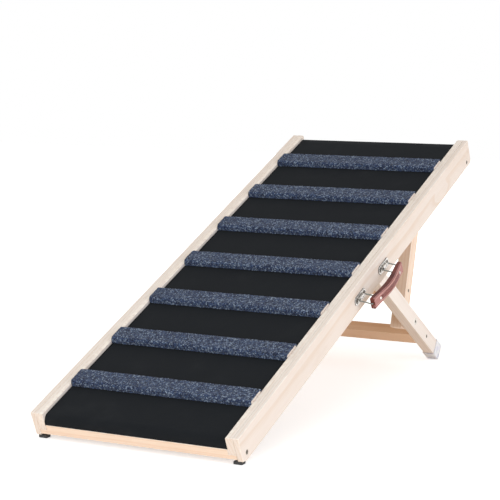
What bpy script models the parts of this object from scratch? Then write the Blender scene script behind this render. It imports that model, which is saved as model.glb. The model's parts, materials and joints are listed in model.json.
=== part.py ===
"""Folding pet ramp: two rails carry a matted deck with seven carpeted treads, held up by a
hinged leg frame whose strut frame rests in slotted racks, with a lift handle on one rail."""

import math

import bmesh
import bpy
from mathutils import Vector

# Driving dimensions, in metres. u runs across the ramp, v up the slope, w out of the deck.
GAP = 0.0003

RAMP_WIDTH = 0.400
RAMP_LENGTH = 1.050
RAIL_HEIGHT = 0.050
RAIL_RISE = 0.006
RAIL_OVERHANG = 0.0075
BOARD_THICK = 0.010
BATTEN_THICK = 0.0137
BATTEN_CHAMFER = 0.0013
CHAMFER_WIDTH = 0.0032
TOE_RISE = 0.0055

MAT_THICK = 0.0025
MAT_NOSE_RADIUS = 0.016
MAT_DROP = 0.017
DECK_THICK = 0.0065
GROOVE_DEPTH = 0.008

BAR_DEPTH = 0.0237
TONGUE_TOP = 0.0273
FRONT_BAR_BOTTOM = 0.036
REAR_BAR_BOTTOM = 0.040

TREAD_COUNT = 7
TREAD_FIRST = 0.1140
TREAD_PITCH = 0.1384
TREAD_WIDTH = 0.041
TREAD_HEIGHT = 0.0117
CARPET_THICK = 0.003

PAD_LENGTH = 0.0125
PAD_WIDTH = 0.0165
PAD_THICK = 0.0055

PIVOT_DROP = 0.027
LEG_RAKE = math.radians(56.5)
LEG_THICK = 0.022
LEG_WIDTH = 0.030
LEG_LENGTH = 0.3994

BRACE_START = 0.285
BRACE_TALL = 0.042
BRACE_THICK = 0.020

CAP_LENGTH = 0.028
CAP_WALL = 0.0013
CAP_SIDE_GAP = 0.0006

STRUT_PIVOT = 0.249
STRUT_SPAN = 0.2705
STRUT_TAIL = 0.0165
STRUT_WIDTH = 0.028
STRUT_THICK = 0.0245
STRUT_SIDE_GAP = 0.0008
STRUT_HEADROOM = 0.0011

SPREADER_AT = 0.060
SPREADER_WIDTH = 0.024
SPREADER_THICK = 0.018

TOP_BAR_RADIUS = 0.0055
TOP_BAR_OVERHANG = 0.020

RACK_THICK = 0.020
RACK_BOTTOM = 0.041
SLOT_COUNT = 4
SLOT_PITCH = 0.030
RACK_TAIL = 0.024
RACK_TO_BAR = 0.03466
SLOT_CLEARANCE = 0.0008

HANDLE_CENTRE = 0.5355
HANDLE_SPREAD = 0.110
HANDLE_DROP = 0.021
PLATE_LENGTH = 0.046
PLATE_HEIGHT = 0.017
PLATE_THICK = 0.0015
KNUCKLE_RADIUS = 0.0034
KNUCKLE_LENGTH = 0.018
WIRE_RADIUS = 0.0013
RING_WIDTH = 0.025
RING_REACH = 0.0255
RING_CORNER = 0.0025
RING_DROOP = math.radians(11.8)
GRIP_END_WIDTH = 0.0225
GRIP_MID_WIDTH = 0.0185
GRIP_END_THICK = 0.0095
GRIP_MID_THICK = 0.0125
GRIP_BOW = 0.006
RIVET_RADIUS = 0.003

GRIP_STATIONS = 16
RIVET_STATION = 2
BORE_CLEARANCE = 0.0005
TUNNEL_CLEARANCE = 0.0006

RAIL_SCREW_LENGTH = 0.028
RAIL_HEAD = 0.0040
SMALL_HEAD = 0.0034
SMALL_SHANK = 0.0015
BRACKET_HEAD = 0.0028
BRACKET_SHANK = 0.0013
HINGE_HEAD = 0.0065
BOLT_HEAD = 0.0070
BOLT_SHANK = 0.0030
HEAD_SUNK = 0.0020
NUT_RADIUS = 0.0060
NUT_THICK = 0.0045
NUT_CLEARANCE = 0.0008

# Sizes that follow from the driving dimensions.
HALF = RAMP_WIDTH / 2
BOARD_IN = HALF - BOARD_THICK
BATTEN_OUT = BOARD_IN - GAP
BATTEN_IN = BATTEN_OUT - BATTEN_THICK
DECK_HALF = BATTEN_IN - GAP
RAIL_TOP = RAIL_RISE
RAIL_BOTTOM = RAIL_RISE - RAIL_HEIGHT
RAIL_END = RAMP_LENGTH + RAIL_OVERHANG
TOE_TOP = RAIL_BOTTOM + TOE_RISE
DECK_TOP = -MAT_THICK - GAP
DECK_UNDER = DECK_TOP - DECK_THICK
BAR_BACK = BAR_DEPTH + GAP
REAR_BAR_FRONT = RAMP_LENGTH - BAR_DEPTH

# The foot caps are wider than the legs and fold up between the battens with them.
CAP_OUT = GAP + CAP_WALL
LEG_SIDE_GAP = CAP_OUT + CAP_SIDE_GAP
LEG_OUT = BATTEN_IN - LEG_SIDE_GAP
LEG_IN = LEG_OUT - LEG_THICK
STRUT_OUT = LEG_IN - STRUT_SIDE_GAP
STRUT_IN = STRUT_OUT - STRUT_THICK
TOP_BAR_HALF = STRUT_OUT + TOP_BAR_OVERHANG
RACK_OUT = BATTEN_IN - GAP
RACK_IN = RACK_OUT - RACK_THICK
HALF_LEG = LEG_WIDTH / 2
HALF_STRUT = STRUT_WIDTH / 2

# The rack ends short of the rear bar and the strut stands in its second slot. The strut and
# the leg then place the leg's pivot under the deck.
SEAT = Vector((REAR_BAR_FRONT - RACK_TO_BAR - RACK_TAIL - SLOT_PITCH * (SLOT_COUNT - 2),
               DECK_UNDER - HALF_STRUT - STRUT_HEADROOM))
LEG_DIR = Vector((math.cos(LEG_RAKE), -math.sin(LEG_RAKE)))
LEG_NORMAL = Vector((math.sin(LEG_RAKE), math.cos(LEG_RAKE)))
STRUT_ANGLE = math.asin((SEAT.y + PIVOT_DROP - LEG_DIR.y * STRUT_PIVOT) / STRUT_SPAN)
STRUT_PIN = SEAT - Vector((math.cos(STRUT_ANGLE), math.sin(STRUT_ANGLE))) * STRUT_SPAN
PIVOT = STRUT_PIN - LEG_DIR * STRUT_PIVOT


def bar_path(share):
    """Where the strut frame's top bar is once the legs have folded by a share of their travel."""
    leg = -LEG_RAKE - (math.pi - LEG_RAKE) * share
    strut = STRUT_ANGLE * (1.0 - share)
    pin = PIVOT + Vector((math.cos(leg), math.sin(leg))) * STRUT_PIVOT
    return pin + Vector((math.cos(strut), math.sin(strut))) * STRUT_SPAN


SLOT_SLANT = (SEAT - bar_path(0.045)).normalized()

HANDLE_AXIS = HALF + GAP + PLATE_THICK + KNUCKLE_RADIUS * 0.7
RING_OUT = HANDLE_AXIS + RING_REACH * math.cos(RING_DROOP)
GRIP_DROP = HANDLE_DROP + RING_REACH * math.sin(RING_DROOP)
RING_AT = (HANDLE_CENTRE - HANDLE_SPREAD / 2, HANDLE_CENTRE + HANDLE_SPREAD / 2)
GRIP_START = RING_AT[0] - RING_WIDTH / 2 + WIRE_RADIUS + 0.0004
GRIP_END = RING_AT[1] + RING_WIDTH / 2 - WIRE_RADIUS - 0.0004
GRIP_LENGTH = GRIP_END - GRIP_START

# The lowest corner of a foot cap and the sole of the toe pads both stand on the floor.
FOOT = PIVOT + LEG_DIR * (LEG_LENGTH + CAP_OUT) - LEG_NORMAL * (HALF_LEG + CAP_OUT)
TOE = Vector((0.0, TOE_TOP))
SOLE_DROP = PAD_THICK + GAP
TOE_TO_FOOT = FOOT - TOE
SLOPE = math.atan2(-TOE_TO_FOOT.y, TOE_TO_FOOT.x) - math.asin(SOLE_DROP / TOE_TO_FOOT.length)
TOE_RUN = TOE_RISE / math.tan(SLOPE)


def world_yz(point):
    """Turn a (v, w) point into level (y, z) before the ramp is shifted to its origin."""
    cosine = math.cos(SLOPE)
    sine = math.sin(SLOPE)
    return Vector((point[0] * cosine - point[1] * sine, point[0] * sine + point[1] * cosine))


GRIP_FACE = RING_OUT + GRIP_BOW + GRIP_MID_THICK / 2
SHIFT_X = -(GRIP_FACE - HALF) / 2
SHIFT_Y = -(world_yz((0.0, RAIL_TOP)).x + world_yz((RAIL_END, RAIL_BOTTOM)).x) / 2
SHIFT_Z = SOLE_DROP - world_yz(TOE).y

COLOURS = {
    "pine": (0.86, 0.70, 0.50, 0.55, 0.0),
    "plywood": (0.72, 0.55, 0.36, 0.60, 0.0),
    "mat": (0.022, 0.023, 0.026, 0.90, 0.0),
    "carpet": (0.07, 0.09, 0.16, 0.95, 0.0),
    "rubber": (0.02, 0.02, 0.02, 0.70, 0.0),
    "steel": (0.55, 0.55, 0.54, 0.35, 1.0),
    "silver": (0.62, 0.62, 0.68, 0.45, 0.6),
    "leather": (0.26, 0.08, 0.05, 0.45, 0.0),
}
SIDES = (("left", -1), ("right", 1))
ALONG_U = (math.pi / 2, 0.0, math.pi / 2)


def clear_scene():
    """Remove every object and collection that the file starts with."""
    for item in list(bpy.data.objects):
        bpy.data.objects.remove(item, do_unlink=True)
    for group in list(bpy.data.collections):
        bpy.data.collections.remove(group)


clear_scene()
PARTS = bpy.data.collections.new("folding_ramp")
CUTTERS = bpy.data.collections.new("cutters")
bpy.context.scene.collection.children.link(PARTS)
bpy.context.scene.collection.children.link(CUTTERS)


def add_frame(name, location, angle=0.0, parent=None):
    """Add an empty that carries a group of pieces."""
    frame = bpy.data.objects.new(name, None)
    frame.empty_display_size = 0.03
    PARTS.objects.link(frame)
    frame.parent = parent
    frame.location = location
    frame.rotation_euler.x = angle
    return frame


RAMP = add_frame("ramp_frame", (SHIFT_X, SHIFT_Y, SHIFT_Z), SLOPE)
LEGS = add_frame("leg_pivot", (0.0, PIVOT.x, PIVOT.y), -LEG_RAKE, RAMP)
STRUTS = add_frame("strut_pivot", (0.0, STRUT_PIVOT, 0.0), LEG_RAKE + STRUT_ANGLE, LEGS)
RINGS = add_frame("handle_pivot", (HANDLE_AXIS, HANDLE_CENTRE, -HANDLE_DROP), 0.0, RAMP)
RINGS.rotation_euler.y = RING_DROOP
GRIP = add_frame("grip_pivot", (RING_REACH, 0.0, 0.0), 0.0, RINGS)
GRIP.rotation_euler.y = -RING_DROOP
TOE_FRAME = add_frame("toe_frame", (0.0, 0.0, TOE_TOP), -SLOPE, RAMP)


def add_material(name, finish):
    """Make the Principled material of one piece."""
    red, green, blue, roughness, metallic = COLOURS[finish]
    material = bpy.data.materials.new(name + "_finish")
    material.use_nodes = True
    shader = material.node_tree.nodes["Principled BSDF"]
    shader.inputs["Base Color"].default_value = (red, green, blue, 1.0)
    shader.inputs["Roughness"].default_value = roughness
    shader.inputs["Metallic"].default_value = metallic
    material.diffuse_color = (red, green, blue, 1.0)
    return material


def place(piece, finish, parent, location, rotation):
    """Put a piece in its collection, under its parent; a piece with no finish is a cutter."""
    piece.parent = parent
    piece.location = location
    piece.rotation_euler = rotation
    if finish is None:
        CUTTERS.objects.link(piece)
        piece.hide_render = True
        piece.display_type = "WIRE"
    else:
        PARTS.objects.link(piece)
        piece.data.materials.append(add_material(piece.name, finish))
    return piece


def smooth(piece, angle=40.0):
    """Shade the curved faces of a piece smooth and keep its edges crisp."""
    for polygon in piece.data.polygons:
        polygon.use_smooth = True
    piece.data.set_sharp_from_angle(angle=math.radians(angle))
    return piece


def mesh_of(curve, name):
    """Turn a curve object into a welded mesh and remove the curve."""
    CUTTERS.objects.link(curve)
    graph = bpy.context.evaluated_depsgraph_get()
    mesh = bpy.data.meshes.new_from_object(curve.evaluated_get(graph))
    bpy.data.objects.remove(curve, do_unlink=True)
    shape = bmesh.new()
    shape.from_mesh(mesh)
    bmesh.ops.remove_doubles(shape, verts=shape.verts, dist=1e-6)
    bmesh.ops.recalc_face_normals(shape, faces=shape.faces)
    shape.to_mesh(mesh)
    shape.free()
    mesh.name = name
    return mesh


def add_plate(name, outline, low, high, finish, parent, rotation=ALONG_U, rounded=False):
    """Extrude a flat outline. By default it is given as (v, w) and extruded from u low to high."""
    data = bpy.data.curves.new(name + "_outline", "CURVE")
    data.dimensions = "2D"
    data.fill_mode = "BOTH"
    data.extrude = (high - low) / 2
    spline = data.splines.new("POLY")
    spline.points.add(len(outline) - 1)
    for point, (across, up) in zip(spline.points, outline):
        point.co = (across, up, 0.0, 1.0)
    spline.use_cyclic_u = True
    mesh = mesh_of(bpy.data.objects.new(name + "_curve", data), name)
    piece = bpy.data.objects.new(name, mesh)
    middle = (low + high) / 2
    location = (middle, 0.0, 0.0) if rotation == ALONG_U else (0.0, middle, 0.0)
    place(piece, finish, parent, location, rotation)
    return smooth(piece) if rounded else piece


def add_box(name, u_range, v_range, w_range, finish, parent):
    """Add a plain box between the given limits."""
    low = Vector((u_range[0], v_range[0], w_range[0]))
    high = Vector((u_range[1], v_range[1], w_range[1]))
    shape = bmesh.new()
    bmesh.ops.create_cube(shape, size=1.0)
    bmesh.ops.scale(shape, vec=high - low, verts=shape.verts)
    mesh = bpy.data.meshes.new(name)
    shape.to_mesh(mesh)
    shape.free()
    return place(bpy.data.objects.new(name, mesh), finish, parent, (low + high) / 2, (0.0, 0.0, 0.0))


def add_rod(name, radius, length, finish, parent, location, rotation, sides=24):
    """Add a plain cylinder about its local Z axis, centred on its location."""
    shape = bmesh.new()
    bmesh.ops.create_cone(shape, cap_ends=True, segments=sides, radius1=radius, radius2=radius,
                          depth=length)
    mesh = bpy.data.meshes.new(name)
    shape.to_mesh(mesh)
    shape.free()
    return smooth(place(bpy.data.objects.new(name, mesh), finish, parent, location, rotation), 30.0)


def add_turned(name, profile, finish, parent, location, rotation, steps=16):
    """Spin a profile of (radius, height) points, listed from top to bottom, about local Z."""
    mesh = bpy.data.meshes.new(name)
    points = [(0.0, profile[0][1])] + list(profile) + [(0.0, profile[-1][1])]
    mesh.from_pydata([(radius, 0.0, height) for radius, height in points],
                     [(index, index + 1) for index in range(len(points) - 1)], [])
    piece = place(bpy.data.objects.new(name, mesh), finish, parent, location, rotation)
    spin = piece.modifiers.new("spin", "SCREW")
    spin.angle = 2 * math.pi
    spin.steps = steps
    spin.render_steps = steps
    spin.use_merge_vertices = True
    spin.merge_threshold = 0.00001
    return piece


def cut(piece, cutter, operation="DIFFERENCE"):
    """Cut one piece with another, or join them."""
    modifier = piece.modifiers.new(cutter.name, "BOOLEAN")
    modifier.operation = operation
    modifier.solver = "EXACT"
    modifier.object = cutter
    return piece


def arc(centre, radius, start, end, steps):
    """Points on an arc, both ends included, angles in degrees."""
    points = []
    for step in range(steps + 1):
        angle = math.radians(start + (end - start) * step / steps)
        points.append((centre[0] + radius * math.cos(angle), centre[1] + radius * math.sin(angle)))
    return points


def sided(side, low, high):
    """A u range on the left (-1) or right (+1) side."""
    return (low, high) if side > 0 else (-high, -low)


def facing(side):
    """Rotation that points a turned piece's top out to the left (-1) or right (+1)."""
    return (0.0, side * math.pi / 2, 0.0)


def screw_profile(length, head, shank, grow=0.0):
    """Profile of a countersunk screw, its head just under the face at height zero."""
    rim = head + grow
    top = 0.001 if grow else -GAP
    return [(rim, top), (rim, -0.0010), (shank + grow, -0.0010 - head + shank),
            (shank + grow, -length - grow)]


def add_screw(name, parent, location, rotation, length, head, shank, steps=16):
    """Add a countersunk screw and return the cutter for its hole."""
    add_turned(name, screw_profile(length, head, shank), "steel", parent, location, rotation, steps)
    return add_turned(name + "_hole", screw_profile(length, head, shank, GAP), None, parent,
                      location, rotation, steps)


# The two rails: an outer board and a grooved inner batten on each side
board_outline = [(0.0, RAIL_TOP), (0.0, TOE_TOP), (TOE_RUN, RAIL_BOTTOM),
                 (RAIL_END, RAIL_BOTTOM), (RAIL_END, RAIL_TOP)]
front_screw = (BAR_DEPTH * 0.72, -TONGUE_TOP - 0.0033)
rear_screw = (RAMP_LENGTH - BAR_DEPTH * 0.55, -(TONGUE_TOP + REAR_BAR_BOTTOM) / 2)
boards = {}
battens = {}
end_screw_holes = []
for label, side in SIDES:
    board = add_plate("rail_board_" + label, board_outline, *sided(side, BOARD_IN, HALF), "pine", RAMP)
    for end, (v, w) in (("front", front_screw), ("rear", rear_screw)):
        hole = add_screw("rail_screw_" + end + "_" + label, RAMP, (side * HALF, v, w), facing(side),
                         RAIL_SCREW_LENGTH, RAIL_HEAD, SMALL_SHANK)
        end_screw_holes.append((end, hole))
        cut(board, hole)
    boards[side] = board
    batten_outline = [(side * BATTEN_OUT, RAIL_TOP), (side * BATTEN_OUT, RAIL_BOTTOM),
                      (side * BATTEN_IN, RAIL_BOTTOM), (side * BATTEN_IN, RAIL_TOP - BATTEN_CHAMFER),
                      (side * (BATTEN_IN + CHAMFER_WIDTH), RAIL_TOP)]
    batten = add_plate("rail_batten_" + label, batten_outline, 0.0, RAIL_END, "pine", RAMP,
                       rotation=(math.pi / 2, 0.0, 0.0))
    cut(batten, add_box("batten_groove_" + label,
                        sided(side, BATTEN_IN - 0.001, BATTEN_IN + GROOVE_DEPTH + GAP),
                        (BAR_BACK, RAIL_END + 0.001), (DECK_UNDER - GAP, -MAT_THICK), None, RAMP))
    for end, v_range in (("front", (-0.001, BAR_BACK)),
                         ("rear", (REAR_BAR_FRONT - GAP, RAIL_END + 0.001))):
        cut(batten, add_box("batten_notch_" + end + "_" + label, sided(side, BATTEN_IN - 0.001, HALF),
                            v_range, (RAIL_BOTTOM - 0.001, -TONGUE_TOP + GAP), None, RAMP))
    battens[side] = batten

# Deck board, mat and the two end bars
deck_half = BATTEN_IN + GROOVE_DEPTH
add_box("deck_board", (-deck_half, deck_half), (BAR_BACK + GAP, RAMP_LENGTH), (DECK_UNDER, DECK_TOP),
        "plywood", RAMP)

nose = (MAT_NOSE_RADIUS, -MAT_NOSE_RADIUS)
mat_outline = [(RAMP_LENGTH, 0.0)]
mat_outline += arc(nose, MAT_NOSE_RADIUS, 90.0, 180.0, 9)
mat_outline += [(0.0, -MAT_DROP), (MAT_THICK, -MAT_DROP)]
mat_outline += arc(nose, MAT_NOSE_RADIUS - MAT_THICK, 180.0, 90.0, 9)
mat_outline += [(RAMP_LENGTH, -MAT_THICK)]
add_plate("deck_mat", mat_outline, -DECK_HALF, DECK_HALF, "mat", RAMP, rounded=True)


def end_bar(end, outline, tongue_v):
    """Make a cross bar whose ends are stepped down to pass under the battens."""
    bar = add_plate(end + "_bar", outline, -BATTEN_OUT, BATTEN_OUT, "pine", RAMP)
    for label, side in SIDES:
        cut(bar, add_box(end + "_bar_step_" + label, sided(side, DECK_HALF - GAP, HALF), tongue_v,
                         (-TONGUE_TOP, 0.001), None, RAMP))
    for place_name, hole in end_screw_holes:
        if place_name == end:
            cut(bar, hole)
    return bar


bar_nose = MAT_NOSE_RADIUS - MAT_THICK - GAP
front_outline = [(0.0, -FRONT_BAR_BOTTOM), (BAR_DEPTH, -FRONT_BAR_BOTTOM), (BAR_DEPTH, DECK_TOP)]
front_outline += arc(nose, bar_nose, 90.0, 180.0, 9)
front_outline += [(MAT_THICK + GAP, -MAT_DROP - GAP), (0.0, -MAT_DROP - GAP)]
end_bar("front", front_outline, (-0.001, BAR_DEPTH + 0.001))
rear_outline = [(REAR_BAR_FRONT, -REAR_BAR_BOTTOM), (RAMP_LENGTH, -REAR_BAR_BOTTOM),
                (RAMP_LENGTH, DECK_UNDER - GAP), (REAR_BAR_FRONT, DECK_UNDER - GAP)]
end_bar("rear", rear_outline, (REAR_BAR_FRONT - 0.001, RAMP_LENGTH + 0.001))


# Carpeted treads: a wooden slat under a carpet cover
def arch(half, height, corner, steps):
    """Upper outline of a tread, from its rear foot over the top to its front foot."""
    return ([(half, GAP)] + arc((half - corner, height - corner), corner, 0.0, 90.0, steps)
            + arc((corner - half, height - corner), corner, 90.0, 180.0, steps) + [(-half, GAP)])


for index in range(TREAD_COUNT):
    label = str(index + 1)
    middle = TREAD_FIRST + TREAD_PITCH * index
    outer = TREAD_WIDTH / 2
    core = outer - CARPET_THICK
    slat = arch(core - GAP, TREAD_HEIGHT - CARPET_THICK - GAP, 0.003, 3)
    cover = arch(outer, TREAD_HEIGHT, 0.006, 4)
    cover += list(reversed(arch(core, TREAD_HEIGHT - CARPET_THICK, 0.003, 3)))
    for name, outline, finish in (("tread_slat_", slat, "pine"), ("tread_carpet_", cover, "carpet")):
        tread = add_plate(name + label, outline, -DECK_HALF, DECK_HALF, finish, RAMP, rounded=True)
        tread.location.y = middle

# Rubber pads under the slanted toes, level with the floor
toe_length = TOE_RUN / math.cos(SLOPE)
pad_start = (toe_length - PAD_LENGTH) * 0.7
for label, side in SIDES:
    add_box("rubber_pad_" + label, sided(side, HALF - PAD_WIDTH - 0.003, HALF - 0.003),
            (pad_start, pad_start + PAD_LENGTH), (-GAP - PAD_THICK, -GAP), "rubber", TOE_FRAME)

# Slotted racks under the deck, which take the strut frame's top bar
seat_radius = TOP_BAR_RADIUS + SLOT_CLEARANCE
slant_side = Vector((-SLOT_SLANT.y, SLOT_SLANT.x))
rack_slots = [SEAT.x + SLOT_PITCH * (index - 1) for index in range(SLOT_COUNT)]
rack_start = rack_slots[0] - SLOT_PITCH
rack_end = rack_slots[-1] + RACK_TAIL


def rack_outline():
    """Outline of a rack, with slanted slots that open at its lower edge."""
    points = [(rack_end, -RACK_BOTTOM), (rack_end, DECK_UNDER - GAP),
              (rack_start, DECK_UNDER - GAP), (rack_start, -RACK_BOTTOM)]
    for slot in rack_slots:
        seat = Vector((slot, SEAT.y))
        feet = []
        for offset in (1, -1):
            wall = seat + slant_side * seat_radius * offset
            feet.append(wall - SLOT_SLANT * ((wall.y + RACK_BOTTOM) / SLOT_SLANT.y))
        start = math.degrees(math.atan2(slant_side.y, slant_side.x))
        points += [tuple(feet[0])] + arc(seat, seat_radius, start, start - 180.0, 8) + [tuple(feet[1])]
    return points


for label, side in SIDES:
    add_plate("rack_" + label, rack_outline(), *sided(side, RACK_IN, RACK_OUT), "pine", RAMP)

# Hinge bolts that carry the leg frame on the battens
hinge_holes = {}
for label, side in SIDES:
    reach = LEG_THICK + LEG_SIDE_GAP + BATTEN_THICK - 0.002
    hinge_holes[side] = add_screw("hinge_bolt_" + label, RAMP, (side * LEG_IN, PIVOT.x, PIVOT.y),
                                  facing(-side), reach, HINGE_HEAD, BOLT_SHANK, 20)
    cut(battens[side], hinge_holes[side])

# Leg frame, built along the leg: v runs down the leg from its pivot, w across it
leg_outline = [(LEG_LENGTH, -HALF_LEG), (LEG_LENGTH, HALF_LEG)]
leg_outline += arc((0.0, 0.0), HALF_LEG, 90.0, 270.0, 12)
nut_face = STRUT_IN + 0.0008
bolt_end = nut_face - LEG_OUT
hole = BOLT_SHANK + GAP
strut_holes = {}
brace = add_box("leg_brace", (GAP - LEG_IN, LEG_IN - GAP), (BRACE_START, BRACE_START + BRACE_TALL),
                (-HALF_LEG, BRACE_THICK - HALF_LEG), "pine", LEGS)
for label, side in SIDES:
    spot = (side * LEG_OUT, STRUT_PIVOT, 0.0)
    add_turned("strut_bolt_" + label,
               [(BOLT_HEAD, -GAP), (BOLT_HEAD, -HEAD_SUNK + GAP), (BOLT_SHANK, -HEAD_SUNK + GAP),
                (BOLT_SHANK, bolt_end)], "steel", LEGS, spot, facing(side), 20)
    strut_holes[side] = add_turned(
        "strut_bolt_hole_" + label,
        [(BOLT_HEAD + GAP, 0.001), (BOLT_HEAD + GAP, -HEAD_SUNK), (hole, -HEAD_SUNK),
         (hole, bolt_end - 0.001)], None, LEGS, spot, facing(side), 20)
    nut = add_rod("strut_nut_" + label, NUT_RADIUS, NUT_THICK, "steel", LEGS,
                  (side * (nut_face + NUT_THICK / 2), STRUT_PIVOT, 0.0), facing(side), 6)
    cut(nut, strut_holes[side])
    screw_at = (side * LEG_OUT, BRACE_START + BRACE_TALL * 0.8, BRACE_THICK * 0.72 - HALF_LEG)
    brace_hole = add_screw("brace_screw_" + label, LEGS, screw_at, facing(side),
                           LEG_THICK + 0.012, SMALL_HEAD, SMALL_SHANK)
    leg = add_plate("leg_" + label, leg_outline, *sided(side, LEG_IN, LEG_OUT), "pine", LEGS,
                    rounded=True)
    for cutter in (hinge_holes[side], strut_holes[side], brace_hole):
        cut(leg, cutter)
    cut(brace, brace_hole)
    cap = add_box("leg_cap_" + label, sided(side, LEG_IN - CAP_OUT, LEG_OUT + CAP_OUT),
                  (LEG_LENGTH - CAP_LENGTH, LEG_LENGTH + CAP_OUT),
                  (-HALF_LEG - CAP_OUT, HALF_LEG + CAP_OUT), "silver", LEGS)
    cut(cap, add_box("leg_cap_hollow_" + label, sided(side, LEG_IN - GAP, LEG_OUT + GAP),
                     (LEG_LENGTH - CAP_LENGTH - 0.001, LEG_LENGTH + GAP),
                     (-HALF_LEG - GAP, HALF_LEG + GAP), None, LEGS))

# Strut frame, built along the strut: it turns on the leg bolts and ends in the top bar
top_bar_spot = (0.0, STRUT_SPAN, 0.0)
top_bar_hole = add_rod("top_bar_hole", TOP_BAR_RADIUS + GAP, RAMP_WIDTH, None, STRUTS, top_bar_spot,
                       facing(1))
add_rod("strut_top_bar", TOP_BAR_RADIUS, 2 * TOP_BAR_HALF, "pine", STRUTS, top_bar_spot, facing(1))
strut_outline = [(STRUT_SPAN, HALF_STRUT), (-STRUT_TAIL, HALF_STRUT), (-STRUT_TAIL, -HALF_STRUT)]
strut_outline += arc((STRUT_SPAN, 0.0), HALF_STRUT, -90.0, 90.0, 12)[:-1]
spreader = add_box("strut_spreader", (GAP - STRUT_IN, STRUT_IN - GAP),
                   (SPREADER_AT - SPREADER_WIDTH / 2, SPREADER_AT + SPREADER_WIDTH / 2),
                   (-SPREADER_THICK / 2, SPREADER_THICK / 2), "pine", STRUTS)
for label, side in SIDES:
    spreader_hole = add_screw("spreader_screw_" + label, STRUTS, (side * STRUT_OUT, SPREADER_AT, 0.0),
                              facing(side), STRUT_THICK + 0.012, SMALL_HEAD, SMALL_SHANK)
    cut(spreader, spreader_hole)
    strut = add_plate("strut_" + label, strut_outline, *sided(side, STRUT_IN, STRUT_OUT), "pine",
                      STRUTS, rounded=True)
    pocket = (side * (nut_face + NUT_THICK + GAP - 0.010), 0.0, 0.0)
    nut_pocket = add_rod("strut_nut_pocket_" + label, NUT_RADIUS + NUT_CLEARANCE, 0.020, None, STRUTS,
                         pocket, facing(side))
    for cutter in (strut_holes[side], spreader_hole, top_bar_hole, nut_pocket):
        cut(strut, cutter)

# Handle brackets on the right rail: a rounded plate with a knuckle for the ring
plate_round = PLATE_HEIGHT / 2 - 0.0005
plate_outline = []
for corner_v, corner_w, start in ((1, 1, 0.0), (-1, 1, 90.0), (-1, -1, 180.0), (1, -1, 270.0)):
    corner = (corner_v * (PLATE_LENGTH / 2 - plate_round), corner_w * (PLATE_HEIGHT / 2 - plate_round))
    plate_outline += arc(corner, plate_round, start, start + 90.0, 5)
along_v = (-math.pi / 2, 0.0, 0.0)
for label, centre in zip(("front", "rear"), RING_AT):
    spot = (HANDLE_AXIS, centre, -HANDLE_DROP)
    bracket = add_plate("handle_bracket_" + label, plate_outline, HALF + GAP, HALF + GAP + PLATE_THICK,
                        "steel", RAMP, rounded=True)
    bracket.location.y = centre
    bracket.location.z = -HANDLE_DROP
    cut(bracket, add_rod("knuckle_" + label, KNUCKLE_RADIUS, KNUCKLE_LENGTH, None, RAMP, spot, along_v,
                         16), "UNION")
    cut(bracket, add_rod("knuckle_bore_" + label, WIRE_RADIUS + BORE_CLEARANCE, KNUCKLE_LENGTH * 1.2,
                         None, RAMP, spot, along_v, 16))
    for number, step in (("1", -1), ("2", 1)):
        screw_hole = add_screw("bracket_screw_" + label + "_" + number, RAMP,
                               (HALF + GAP + PLATE_THICK, centre + step * PLATE_LENGTH * 0.34,
                                -HANDLE_DROP), facing(1), 0.009, BRACKET_HEAD, BRACKET_SHANK)
        cut(bracket, screw_hole)
        cut(boards[1], screw_hole)


def add_ring(name, centre):
    """Add a rectangular wire ring that lies out from the handle axis."""
    data = bpy.data.curves.new(name, "CURVE")
    data.dimensions = "3D"
    data.bevel_depth = WIRE_RADIUS
    data.bevel_resolution = 2
    points = []
    for far, side, start in ((1, 1, 0.0), (0, 1, 90.0), (0, -1, 180.0), (1, -1, 270.0)):
        inward = RING_CORNER if far else -RING_CORNER
        middle = (RING_REACH * far - inward, side * (RING_WIDTH / 2 - RING_CORNER))
        points += arc(middle, RING_CORNER, start, start + 90.0, 4)
    spline = data.splines.new("POLY")
    spline.points.add(len(points) - 1)
    for point, (out, along) in zip(spline.points, points):
        point.co = (out, along, 0.0, 1.0)
    spline.use_cyclic_u = True
    spline.use_smooth = True
    return place(bpy.data.objects.new(name, data), "steel", RINGS, (0.0, centre, 0.0), (0.0, 0.0, 0.0))


for label, centre in zip(("front", "rear"), RING_AT):
    add_ring("handle_ring_" + label, centre - HANDLE_CENTRE)

# Leather grip: a padded bar in a smooth bow away from the rail, threaded on the two rings
def grip_shape_at(along):
    """Offset, thickness and width of the grip at a distance from its middle."""
    from_end = max(0.0, 1.0 - 2 * abs(along) / GRIP_LENGTH)
    ease = math.sin(from_end * math.pi / 2) ** 1.6
    return (GRIP_BOW * ease, GRIP_END_THICK + (GRIP_MID_THICK - GRIP_END_THICK) * ease,
            GRIP_END_WIDTH + (GRIP_MID_WIDTH - GRIP_END_WIDTH) * ease)


grip_mesh = bpy.data.meshes.new("handle_grip")
grip_shape = bmesh.new()
bmesh.ops.create_cube(grip_shape, size=1.0)
bmesh.ops.scale(grip_shape, vec=(1.0, GRIP_LENGTH, 1.0), verts=grip_shape.verts)
long_edges = [edge for edge in grip_shape.edges
              if abs(edge.verts[0].co.y - edge.verts[1].co.y) > GRIP_LENGTH / 2]
bmesh.ops.subdivide_edges(grip_shape, edges=long_edges, cuts=GRIP_STATIONS - 1, use_grid_fill=True)
for vertex in grip_shape.verts:
    offset, thick, width = grip_shape_at(vertex.co.y)
    vertex.co.x = offset + vertex.co.x * thick
    vertex.co.z *= width
grip_shape.to_mesh(grip_mesh)
grip_shape.free()
grip_middle = (GRIP_START + GRIP_END) / 2 - HANDLE_CENTRE
grip = place(bpy.data.objects.new("handle_grip", grip_mesh), "leather", GRIP,
             (0.0, grip_middle, 0.0), (0.0, 0.0, 0.0))
rounding = grip.modifiers.new("rounding", "BEVEL")
rounding.width = GRIP_END_THICK * 0.3
rounding.segments = 3
rounding.limit_method = "ANGLE"
rounding.angle_limit = math.radians(50.0)
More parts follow.
